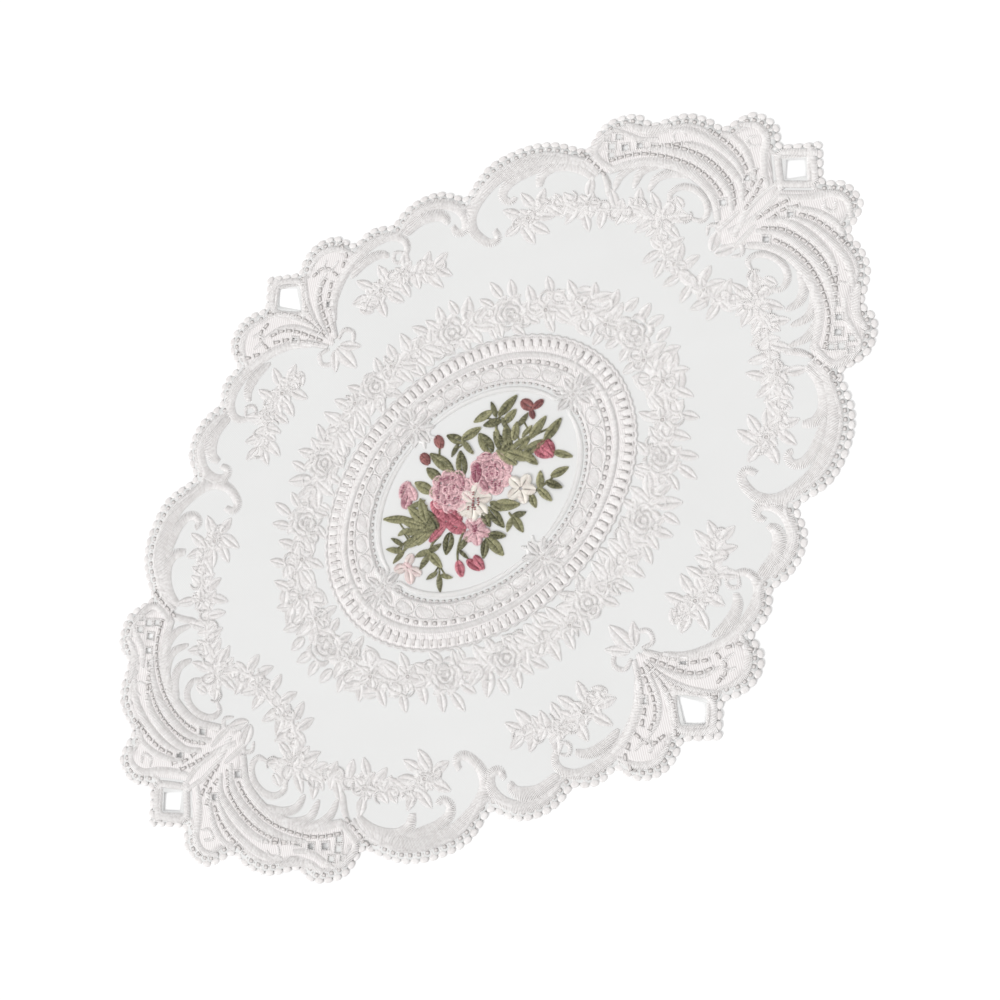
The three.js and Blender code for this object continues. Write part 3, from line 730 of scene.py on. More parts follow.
@dataclass
class StitchBed:
    """Gathers lines and has a shape repeated along them, as one finished piece."""

    name: str
    shape: StitchShape = StitchShape.THREAD
    # Satin threads lie 0.4 mm apart. They are drawn about 0.7 mm apart, so that each one shows.
    pitch: float = 0.68
    thread_width: float = 0.84
    sewn: int = 1
    left_out: int = 0
    seed: int = 7
    # The width from which a leaf is stitched in two halves, with a vein between them
    vein_from: float = 3.3
    # How far along the line each shape lies, in millimetres, and across it, in its own reach
    ahead: float = 0.0
    aside: float = 0.0
    points: list[tuple[float, float, float]] = field(default_factory=list)
    edges: list[tuple[int, int]] = field(default_factory=list)
    marks: list[tuple[float, float, float, float, float]] = field(default_factory=list)

    def row(
        self, line: Line, reach: float | np.ndarray, height: float = 0.6, lean: float = 0.0,
        shade: float = 0.8, lift: float = 0.0, closed: bool = False, width: float = 1.0
    ) -> None:
        """Adds a line that stitches are laid across.

        Args:
            line: The line's points, in millimetres.
            reach: Half the length of a stitch, for all points or for each.
            height: How high a stitch stands.
            lean: How far the stitches slant, in degrees.
            shade: From 0, the dark end of the thread's colour, to 1, the light end.
            lift: How far the line lies above the cloth.
            closed: Whether the last point leads back to the first.
            width: The width of a stitch, in shares of the bed's thread width.
        """
        first = len(self.points)
        reaches = np.broadcast_to(np.asarray(reach, float), (len(line),))
        slant = math.radians(lean)
        for (x, y), half in zip(line, reaches):
            self.points.append((x, y, STITCH_BASE + lift))
            self.marks.append((half / math.cos(slant) * MM, height * MM, slant, shade, width))
        self.edges += [(first + i, first + i + 1) for i in range(len(line) - 1)]
        if closed:
            self.edges.append((first + len(line) - 1, first))

    def satin(
        self, line: Line, width: float, ends: Point, height: float = 0.6, lean: float = 0.0,
        shade: float = 0.8, lift: float = 0.0
    ) -> None:
        """Adds a satin column, widest in its middle.

        Args:
            line: The middle of the column.
            width: Its greatest width.
            ends: The share of that width at its start and its end.
            height: How high its stitches stand.
            lean: How far they slant, in degrees.
            shade: Their shade.
            lift: How far the column lies above the cloth.
        """
        t = np.linspace(0.0, 1.0, len(line))
        start, stop = ends
        floor = start * (1 - t) + stop * t
        profile = floor + (1 - floor) * np.sin(np.pi * t) ** 0.6
        self.row(line, width / 2 * profile, height, lean, shade, lift)

    def mirrored_satin(
        self, line: Line, width: float, ends: Point, height: float, lean: float, lift: float = 0.0
    ) -> None:
        """Adds a satin column in each quarter, with its slant mirrored too."""
        for copy, hand in in_quarters(line):
            self.satin(copy, width, ends, height, lean * hand, lift=lift)

    def single(
        self, spot: np.ndarray, along: np.ndarray, reach: float, width: float, height: float,
        lift: float
    ) -> None:
        """Adds one shape that stands across a direction, in a bed that sews every second place."""
        pair = spot + np.outer((0.0, 1.5 * self.pitch), along)
        self.row(pair, reach, height, shade=0.55, lift=lift, width=width)

    def leaf(
        self, middle: Point, length: float, width: float, turn: float, height: float = 0.55,
        shade: float = 0.8, lift: float = 0.0, hand: int = 1
    ) -> None:
        """Adds a pointed leaf or petal: one slanted column, or one each side of a vein.

        Args:
            middle: The middle of the leaf.
            length: Its length.
            width: Its greatest width.
            turn: The direction of its tip, in degrees.
            height: How high its stitches stand.
            shade: Their shade.
            lift: How far it lies above the cloth.
            hand: 1, or -1 for a mirrored leaf.
        """
        angle = math.radians(turn)
        along = np.array([math.cos(angle), math.sin(angle)])
        t = np.linspace(0.03, 0.97, 9)
        axis = np.asarray(middle) + np.outer((t - 0.5) * length, along)
        half = width / 2 * np.sin(np.pi * t**0.9) ** 0.8 + 0.15
        if width < self.vein_from:
            self.row(axis, half, height, 18.0 * hand, shade, lift)
            return
        for side in (1, -1):
            flank = moved_aside(axis, side * half / 2)
            tone = shade + 0.09 * side
            self.row(flank, half / 2 + 0.12, height, 32.0 * side, tone, lift)

    def sew(self, material: bpy.types.Material) -> bpy.types.Object:
        """Repeats the shape along the gathered lines and keeps the result as a plain mesh.

        Args:
            material: The finish of the stitches.

        Returns:
            The finished piece, laid on the cloth.
        """
        lines = bpy.data.meshes.new(f"{self.name} lines")
        lines.from_pydata([Vector(p) * MM for p in self.points], self.edges, [])
        for column, name in enumerate(("reach", "height", "lean", "shade", "width")):
            values = lines.attributes.new(name, "FLOAT", "POINT")
            values.data.foreach_set("value", [mark[column] for mark in self.marks])
        drawn = new_object(f"{self.name} lines", lines)
        unit = new_object(f"{self.name} unit", self.shape.mesh())
        beside = Vector((self.aside, self.ahead / self.thread_width, 0.0))
        unit.data.transform(Matrix.Translation(beside))
        rows = RowOfStitches()
        modifier = drawn.modifiers.new("rows", "NODES")
        modifier.node_group = rows.tree
        settings = {
            "Shape": unit,
            "Pitch": self.pitch * MM,
            "Thread width": self.thread_width * MM,
            "Threads sewn": self.sewn,
            "Threads left out": self.left_out,
            "Seed": self.seed,
            "Material": material,
        }
        for name, value in settings.items():
            modifier[rows.socket_ids[name]] = value
        bpy.context.view_layer.update()
        seen = drawn.evaluated_get(bpy.context.evaluated_depsgraph_get())
        mesh = bpy.data.meshes.new_from_object(seen)
        drawn.modifiers.remove(modifier)
        for helper in (drawn, unit):
            spare = helper.data
            bpy.data.objects.remove(helper)
            bpy.data.meshes.remove(spare)
        bpy.data.node_groups.remove(rows.tree)
        mesh.name = self.name
        follow_cloth(mesh)
        return new_object(self.name, mesh)


@dataclass
class ClothPatch:
    """A thin flat piece of cloth cut to an outline, with holes, that follows the mat's swell."""

    name: str
    outlines: list[Line]
    holes: list[Line]
    limit: Line | None = None
    # The spacing of the points inside it, and the share of that which they keep from its edge
    spacing: float = 3.0
    margin: float = 0.45
    base: float = CLOTH_HEIGHT - CLOTH_THICKNESS / 2
    thickness: float = CLOTH_THICKNESS

    def _flat(self) -> tuple[np.ndarray, np.ndarray]:
        """Cuts the flat shape into triangles.

        Returns:
            The points, and the corners of each triangle.
        """
        edge = np.vstack(self.outlines)
        low, high = edge.min(axis=0), edge.max(axis=0)
        columns = np.arange(low[0], high[0], self.spacing)
        ranks = np.arange(low[1], high[1], self.spacing)
        grid = np.stack(np.meshgrid(columns, ranks), axis=-1).reshape(-1, 2)
        paths = [*self.outlines, *self.holes]
        rims = np.vstack(paths)
        room = self.spacing * self.margin
        clear = np.array([np.abs(rims - p).max(axis=1).min() > room for p in grid])
        points = [*rims, *grid[clear]]
        edges: list[tuple[int, int]] = []
        start = 0
        for path in paths:
            count = len(path)
            edges += [(start + i, start + (i + 1) % count) for i in range(count)]
            start += count
        cut = delaunay_2d_cdt([Vector(p) for p in points], edges, [], 0, 1e-5)
        flat = np.array([tuple(p) for p in cut[0]])
        triangles = np.array([tuple(f) for f in cut[2] if len(f) == 3])
        middles = flat[triangles].mean(axis=1)
        kept = np.zeros(len(triangles), bool)
        for outline in self.outlines:
            kept |= inside(middles, outline)
        for hole in self.holes:
            kept &= ~inside(middles, hole)
        if self.limit is not None:
            kept &= inside(middles, self.limit)
        return flat, triangles[kept]

    def cut(self, material: bpy.types.Material) -> bpy.types.Object:
        """Builds the piece, with its top, its underside and its cut edge.

        Args:
            material: Its finish.

        Returns:
            The finished piece.
        """
        flat, triangles = self._flat()
        used, packed = np.unique(triangles, return_inverse=True)
        flat, triangles = flat[used], packed.reshape(-1, 3)
        count = len(flat)
        heights = (self.base, self.base + self.thickness)
        layers = [np.column_stack([flat, np.full(count, z)]) for z in heights]
        a, b, c = flat[triangles].transpose(1, 0, 2)
        turning = (b - a)[:, 0] * (c - a)[:, 1] - (b - a)[:, 1] * (c - a)[:, 0]
        triangles = np.where(turning[:, None] > 0, triangles, triangles[:, ::-1])
        # A side that two triangles share isn't part of the edge.
        sides: dict[tuple[int, int], bool] = {}
        for i, j, k in triangles:
            for side in ((i, j), (j, k), (k, i)):
                if sides.pop(side[::-1], None) is None:
                    sides[side] = True
        walls = [(i, j, j + count, i + count) for i, j in sides]
        faces = [*triangles[:, ::-1].tolist(), *(triangles + count).tolist(), *walls]
        mesh = new_mesh(self.name, np.vstack(layers), faces)
        mesh.polygons.foreach_set("use_smooth", [True] * len(triangles) * 2 + [False] * len(walls))
        mesh.materials.append(material)
        follow_cloth(mesh)
        return new_object(self.name, mesh)


def hand_over(piece: bpy.types.Object, slot: str, *nodes: str) -> None:
    """Attaches a finished piece of the mat to the root body and hides the solids that it stands for.

    Args:
        piece: The finished piece.
        slot: The record's material slot; not used.
        nodes: The solids that it stands for.
    """
    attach(piece, "root")
    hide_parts(*nodes)
    log.info("%s: %d faces", piece.name, len(piece.data.polygons))


# The white lace


@dataclass
class ScallopedEdge:
    """The edge of the mat: lobes from tip to tip, and the picots and cord that follow them."""

    picot_pitch: float = 4.45
    picot_reach: float = 1.8
    picot_height: float = 0.65
    hole_inset: float = 4.35
    hole_length: float = 2.2
    hole_width: float = 1.9
    cord_inset: float = 6.1
    cord_width: float = 2.5
    cloth_inset: float = 2.3

    # The points that each lobe of the first quarter passes
    LOBES: ClassVar[tuple[Course, ...]] = (
        ((HALF_LENGTH, 0), (211.8, 13.2)),
        ((211.8, 13.2), (217.4, 19.5), (218, 27), (214.5, 35), (201.2, 39.5)),
        ((201.2, 39.5), (200.2, 48), (194.8, 58), (181.5, 66.2)),
        ((181.5, 66.2), (180.6, 74.5), (174, 80.8), (165, 84), (152, 81)),
        ((152, 81), (144, 96.5), (131.5, 106.4), (114, 112.3), (96, 109.2)),
        ((96, 109.2), (90.3, 120.6), (80, 126.8), (70, 128.4), (61.6, 127)),
        ((61.6, 127), (56.5, 132.2), (50, 134.8), (42.3, 134.6)),
        ((42.3, 134.6), (39, 144.6), (30, 150), (20, 149.8), (12.4, 146.2)),
        ((12.4, 146.2), (0, HALF_WIDTH)),
    )

    def path(self) -> Line:
        """Draws the closed path round the mat, counter-clockwise.

        Returns:
            The path's points.
        """
        quarter = np.vstack([smooth_line(lobe)[:-1] for lobe in self.LOBES] + [[(0, HALF_WIDTH)]])
        back = quarter[::-1]
        flips = ((quarter, (1, 1)), (back, (-1, 1)), (quarter, (-1, -1)), (back, (1, -1)))
        return np.vstack([(line * flip)[:-1] for line, flip in flips])

    def rounded(self) -> Line:
        """Draws the same path with its notches a little rounded, for what runs inside it."""
        path = self.path()
        return (np.roll(path, 1, axis=0) + path + np.roll(path, -1, axis=0)) / 3

    def inner(self, inset: float) -> Line:
        """Draws the rounded path at an inset from the picots' tips."""
        return inset_path(self.rounded(), inset)

    def area_m2(self) -> float:
        """Gives the flat area inside the edge, in square metres."""
        x, y = self.path().T * MM
        return abs(float(np.dot(x, np.roll(y, -1)) - np.dot(y, np.roll(x, -1)))) / 2

    def build(self) -> list[bpy.types.Object]:
        """Builds the picots, the holes between their feet as grey plates of painted shade, and the cord
        that holds them.

        Returns:
            The finished pieces.
        """
        middle = self.inner(self.picot_reach)
        pitch = self.picot_pitch
        picots = StitchBed("edge_picots", StitchShape.PICOT, pitch, pitch, seed=3)
        picots.row(middle, self.picot_reach, self.picot_height, shade=0.6, lift=-0.4, closed=True)
        # The holes' plates take the grey needle-hole finish, which is painted shade.
        holes = StitchBed("edge_holes", StitchShape.HOLE, pitch, self.hole_length)
        holes.ahead = pitch / 2
        holes.aside = (self.picot_reach - self.hole_inset) / (self.hole_width / 2)
        holes.row(middle, self.hole_width / 2, lift=0.05, closed=True)
        cord = StitchBed("edge_cord", seed=5)
        under = self.inner(self.hole_inset)
        cord.row(under, reach=1.9, height=0.35, lean=8, shade=0.7, lift=-0.3, closed=True)
        along = self.inner(self.cord_inset)
        cord.row(along, self.cord_width / 2, height=0.8, lean=20, lift=-0.15, closed=True)
        white = Thread.WHITE.material()
        return [picots.sew(white), holes.sew(NeedleHoleShade().material()), cord.sew(white)]


@dataclass
class Openings:
    """Openings that go right through: the diamond in each tip and the square cells of the fans."""

    # Corners of the diamond in each tip of the first quarter
    DIAMONDS: ClassVar[tuple[Course, ...]] = (
        ((201, 0), (208, -6), (214, 0), (208, 6)), ((0, 130.5), (6.5, 141), (0, 148), (-6.5, 141))
    )
    # Middle x and y, side and turn of each cell
    CELLS: ClassVar[tuple[Row, ...]] = (
        (174.6, 13.6, 3.6, 50), (190.2, 13.6, 3.6, 50), (164.4, 67.2, 3.8, 140),
        (169.6, 62.6, 3.4, 135), (12.4, 121.6, 3.6, 50),
    )
    # Windows where the fill is left out and the voile stays, given as the cells are
    WINDOWS: ClassVar[tuple[Row, ...]] = (
        (160.6, 72.6, 3.8, 135), (166.2, 73.4, 3.4, 135), (157.4, 69.6, 3.4, 140),
        (161.8, 77.0, 3.0, 130), (173.2, 57.0, 3.2, 130),
    )

    def _square(self, x: float, y: float, size: float, turn: float) -> Line:
        """Draws the four corners of a square cell, given as CELLS gives it."""
        angle = math.radians(turn) + np.arange(4) * math.pi / 2 + math.pi / 4
        return (x, y) + size / math.sqrt(2) * np.column_stack([np.cos(angle), np.sin(angle)])

    def outlines(self, windows: bool = False) -> list[Line]:
        """Lists the outline of every opening of the mat.

        Args:
            windows: Whether the windows of the fill are listed too.

        Returns:
            The outlines, in all four quarters.
        """
        cells = (*self.CELLS, *self.WINDOWS) if windows else self.CELLS
        first = [np.array(diamond, float) for diamond in self.DIAMONDS]
        first += [self._square(*cell) for cell in cells]
        return [copy for line in first for copy, _ in in_quarters(line)]

    def build(self) -> list[bpy.types.Object]:
        """Builds the bound edges of the cells and the windows.

        Returns:
            The finished pieces.
        """
        binding = StitchBed("cell_binding", pitch=0.7, thread_width=0.85)
        for cell in (*self.CELLS, *self.WINDOWS):
            for square, hand in in_quarters(self._square(*cell)):
                for start, stop in zip(square, np.roll(square, -1, axis=0)):
                    side = np.linspace(start, stop, 5)
                    binding.row(side, reach=0.6, height=0.9, lean=10 * hand, shade=0.85, lift=0.1)
        return [binding.sew(Thread.WHITE.material())]


@dataclass
class GroundCloth:
    """The sheer voile that carries all the embroidery, cut inside the picot edge."""

    edge: ScallopedEdge
    openings: Openings

    def build(self) -> bpy.types.Object:
        """Builds the cloth, with the openings cut out of it.

        Returns:
            The finished piece.
        """
        outline = self.edge.inner(self.edge.cloth_inset)
        patch = ClothPatch("ground_voile", [outline], self.openings.outlines())
        return patch.cut(Voile().material())


@dataclass
class NeedleRows:
    """Ladders between bands of stitches, in one quarter: slots with grey plates of painted shade,
    parted by thread rungs.
    """

    hole_length: float = 3.2
    hole_width: float = 1.5
    pitch: float = 3.7
    rung_width: float = 0.8
    rung_reach: float = 1.5

    # Middle line of each ladder
    LINES: ClassVar[tuple[Course, ...]] = (
        ((177.2, 17.6), (178.6, 23), (179, 30), (178.2, 37), (176, 44), (172.6, 51), (168, 58),
         (162, 63.6), (156, 67.4)),
        ((178, 9.4), (183, 16), (185, 24), (185.4, 31), (184.4, 38), (181.6, 46), (178, 52)),
        ((193.6, 17.6), (195.4, 22), (196.6, 30), (196.4, 39)),
        ((148.4, 66), (148.8, 73), (148.6, 80)),
        ((3.4, 112), (5.6, 117), (7.4, 121.4), (10, 126), (13.6, 130), (18, 132)),
        ((0.8, 113), (1.2, 121), (2.2, 127), (4.6, 132.6), (8.4, 137.6), (12, 141)),
        ((5.8, 111.6), (8, 115.4), (10, 118)),
        ((15.4, 125.2), (19.4, 128)),
        ((17.6, 138.4), (21.6, 138), (24.4, 135.6), (25, 130.6)),
        ((31, 131), (35.6, 133.6), (37, 138)),
        ((180, 3.8), (187, 5.2), (193, 7.4)),
        ((184.6, 8.6), (189.6, 9.4), (194.4, 12.4)),
        ((174.6, 55.6), (179.4, 51.6), (184.6, 46.2)),
    )

    def build(self) -> list[bpy.types.Object]:
        """Builds the painted-shade plates of the fans' slots, and a rung halfway between each two.

        Returns:
            The finished pieces.
        """
        # The slots' plates are grey with painted shade.
        holes = StitchBed("fan_needle_holes", StitchShape.HOLE, self.pitch, self.hole_length)
        rungs = StitchBed("fan_ladder_rungs", StitchShape.THREAD, self.pitch, self.rung_width)
        rungs.ahead = self.pitch / 2
        for line in self.LINES:
            for copy, _ in in_quarters(smooth_line(line)):
                holes.row(copy, self.hole_width / 2, height=0.5, lift=0.5)
                rungs.row(copy, self.rung_reach, height=0.9, lift=0.3)
        return [holes.sew(NeedleHoleShade().material()), rungs.sew(Thread.WHITE.material())]


@dataclass
class Fans:
    """The close-stitched fans at the tips: flat fill, and wide satin bands between dark rows."""

    edge: ScallopedEdge
    openings: Openings
    fill_height: float = 0.35

    LONG_FILL: ClassVar[Course] = (
        (160, -1), (163, 7), (168.5, 9), (173.5, 17), (176, 26), (176, 36), (173, 45), (167, 54.5),
        (159, 61.5), (150.5, 64), (146.5, 72), (146, 88), (176, 88), (186, 72), (202, 60), (204, 44),
        (220, 38), (222, 24), (210, 12.5), (205, 13), (196.5, 3), (196.5, -1),
    )
    SHORT_FILL: ClassVar[Course] = (
        (-1, 105), (5, 108), (9, 115), (15, 121), (24, 126), (34, 128), (42, 128), (44, 150), (12, 152),
        (10, 142), (6, 132), (-1, 129),
    )
    # Middle line, width, height, and the share of the width at each end
    BANDS: ClassVar[tuple[tuple[Course, float, float, Point], ...]] = (
        (((167, 9), (173, 17), (175.6, 26), (175.2, 36), (172.2, 45), (166.4, 54), (158, 61),
         (151, 64.6)), 5.6, 0.55, (0.6, 0.5)),
        (((174.4, 7.6), (179.6, 14), (182, 22), (182.4, 30), (181.4, 39), (178.4, 47.6), (174, 55),
         (170, 59)), 5.2, 0.6, (0.6, 0.4)),
        (((181, 7.4), (186.6, 13.4), (188.4, 22), (188.8, 31), (187.4, 40), (184, 47)), 5.2, 0.6,
         (0.5, 0.5)),
        (((189.6, 14.6), (192.6, 22.6), (193.4, 31), (192.6, 40), (189.6, 50), (184, 57)), 4.6, 0.6,
         (0.5, 0.5)),
        (((198.4, 37.6), (200.6, 32), (199.6, 24), (196.4, 17), (191.4, 9.6)), 4.0, 0.55, (0.7, 0.5)),
        (((207, 34), (211.4, 27.6), (209.6, 20.4), (203.4, 15.6), (197.4, 9.4), (193.4, 3.4)), 4.4,
         0.55, (0.5, 0.6)),
        (((207.4, 24.6), (203.6, 26.8), (202.4, 22.6), (205.4, 20.2)), 2.8, 0.5, (0.6, 0.4)),
        (((186, 58.6), (179, 63.6), (175, 68.6), (173.4, 75)), 4.6, 0.55, (0.5, 0.5)),
        (((177.4, 58.6), (172, 64), (170, 70), (167.6, 77.4)), 3.6, 0.55, (0.6, 0.4)),
        (((181.6, 51.4), (183.6, 54.6), (187.4, 53), (187, 49.4)), 2.2, 0.5, (0.7, 0.4)),
        (((153.6, 63.6), (152, 70), (153.2, 77), (159.4, 79), (166, 78.6)), 4.2, 0.55, (0.6, 0.5)),
        (((196.4, -2), (202.6, 5.6), (208, 10.6), (213.4, 5.6), (219, -2)), 3.6, 0.5, (1.0, 1.0)),
        (((166, -2), (176, 1.8), (187, 3.2), (196, 1.6)), 3.6, 0.5, (0.9, 0.6)),
        (((163, 5.4), (169, 5.6), (176, 5.2)), 3.4, 0.55, (0.5, 0.5)),
        (((3, 106.6), (7.4, 114), (13.4, 120), (21, 125), (30, 128), (38, 128.4)), 4.4, 0.55,
         (0.6, 0.5)),
        (((0.8, 110), (3.4, 118), (7.6, 126.4), (14, 132), (22, 134.4)), 3.4, 0.55, (0.5, 0.4)),
        (((0, 114), (1.8, 122), (4.8, 130), (9.4, 137), (14, 142.4)), 3.4, 0.55, (0.4, 0.6)),
        (((38, 131.6), (34.6, 139), (27.4, 144), (19, 143)), 4.0, 0.55, (0.5, 0.5)),
        (((26.4, 139.4), (22.4, 137.4), (24.6, 134), (30.4, 134.4)), 2.8, 0.5, (0.7, 0.4)),
        (((-2, 126.4), (4.6, 132.6), (9.6, 141), (5, 147.6), (-2, 152)), 3.4, 0.5, (1.0, 1.0)),
    )

    def _fill(self) -> bpy.types.Object:
        """Builds the flat close fill of all the fans.

        Returns:
            The finished piece.
        """
        outlines = []
        for corners in (self.LONG_FILL, self.SHORT_FILL):
            sides = zip(corners, [*corners[1:], corners[0]])
            rim = np.vstack([np.linspace(start, stop, 6)[:-1] for start, stop in sides])
            outlines += [copy for copy, _ in in_quarters(rim)]
        patch = ClothPatch("fan_fill", outlines, self.openings.outlines(windows=True))
        patch.limit = self.edge.inner(self.edge.cord_inset)
        patch.base = STITCH_BASE - 0.1
        patch.thickness = self.fill_height
        return patch.cut(FillStitch().material())

    def build(self) -> list[bpy.types.Object]:
        """Builds the fill and the bands.

        Returns:
            The finished pieces.
        """
        bands = StitchBed("fan_bands", seed=11)
        for through, width, height, ends in self.BANDS:
            bands.mirrored_satin(smooth_line(through), width, ends, height, lean=14, lift=0.2)
        return [self._fill(), bands.sew(Thread.WHITE.material())]


@dataclass
class Scrolls:
    """The free satin scrolls along the lobes, in one quarter."""

    # Middle line, width, and the share of the width at each end
    COLUMNS: ClassVar[tuple[tuple[Course, float, Point], ...]] = (
        (((160, 18.6), (162, 14.6), (167, 15.6), (170.6, 21), (171, 28), (168, 33.4), (162.6, 35),
         (159, 32.4)), 4.2, (0.4, 0.6)),
        (((173.6, 35), (169.6, 41.6), (163.4, 45), (156.6, 43.4)), 5.2, (0.5, 0.35)),
        (((173, 43.6), (167.4, 50), (160.8, 52.8), (153, 50)), 5.2, (0.5, 0.35)),
        (((166, 54), (160, 57.8), (153, 58.8), (146, 56)), 4.8, (0.5, 0.35)),
        (((94, 85.6), (92.4, 81.8), (88.4, 82.4), (86.6, 87.6), (87, 94), (91.4, 100), (100, 103.2),
         (112, 103.8), (122.4, 100.8), (132.4, 94.8), (140.4, 87), (146, 77.6), (147, 68)), 7.0,
         (0.5, 0.5)),
        (((112, 90), (109.2, 90), (108, 94), (111.6, 97.2), (118.6, 97), (126.4, 93.6), (132.4, 90)),
         6.0, (0.5, 0.3)),
        (((124, 85), (128.6, 88), (135, 87.2), (140.6, 82), (143.6, 75.4), (144, 68)), 7.2, (0.5, 0.4)),
        (((81.6, 103), (80.6, 98.8), (84.8, 97.2), (88.8, 101.4), (89.6, 107.6), (87.2, 113.8),
         (82.2, 119), (75, 121.8), (66, 122.2)), 6.2, (0.5, 0.4)),
        (((81.2, 106), (82.2, 110), (80, 114), (75.4, 117.4), (70, 118.6), (63, 118)), 8.2, (0.4, 0.4)),
        (((53.6, 111), (51, 109.8), (49.8, 113), (53, 115.4), (56, 112.4)), 2.4, (0.5, 0.5)),
        (((56.4, 110.6), (59.6, 113.4), (60.4, 118), (57, 123.6), (50, 127.2), (41, 128.8), (31, 128),
         (22, 125), (14, 120), (8.6, 113.4)), 6.4, (0.45, 0.35)),
        (((49.8, 117), (47.6, 120.4), (43, 122.8), (37, 123.8), (29.4, 122.8)), 6.2, (0.5, 0.3)),
        (((3.6, 105), (8.6, 106.4), (11, 102), (7.6, 98.6), (5, 100.6)), 2.8, (0.6, 0.4)),
        (((162, 3), (165.4, 7), (162.6, 10.4), (158.8, 8)), 2.6, (0.6, 0.4)),
        (((142, 56), (146, 60.4), (148.6, 66)), 4.0, (0.3, 0.6)),
    )
    # Middle line and width of the stems of the sprays
    STEMS: ClassVar[tuple[tuple[Course, float], ...]] = (
        (((149, 33), (146, 41), (139.6, 49), (132, 57.4)), 1.8),
        (((132, 57.4), (130, 64), (124, 70.6), (116, 77), (104, 79)), 1.7),
        (((149, 31), (143.4, 23.4), (139, 14.6), (138.2, 5), (138, -1)), 1.7),
        (((25, 107), (33, 108.6), (43, 106.8), (52, 101), (60, 94)), 1.7),
        (((8, 70), (17, 73.4), (28, 71), (38, 68)), 1.8),
        (((50, 61), (58, 60.4), (64, 55)), 1.8),
        (((76, 47), (84, 42), (91, 33), (96, 24), (98, 14), (100.6, 8)), 1.8),
    )

    def build(self) -> list[bpy.types.Object]:
        """Builds the scrolls and the stems.

        Returns:
            The finished pieces.
        """
        scrolls = StitchBed("white_scrolls", seed=13)
        for through, width, ends in self.COLUMNS:
            scrolls.mirrored_satin(smooth_line(through), width, ends, height=0.65, lean=16)
        stems = StitchBed("white_stems", seed=17)
        for through, width in self.STEMS:
            stems.mirrored_satin(smooth_line(through), width, (0.8, 0.5), height=0.6, lean=30)
        white = Thread.WHITE.material()
        return [scrolls.sew(white), stems.sew(white)]


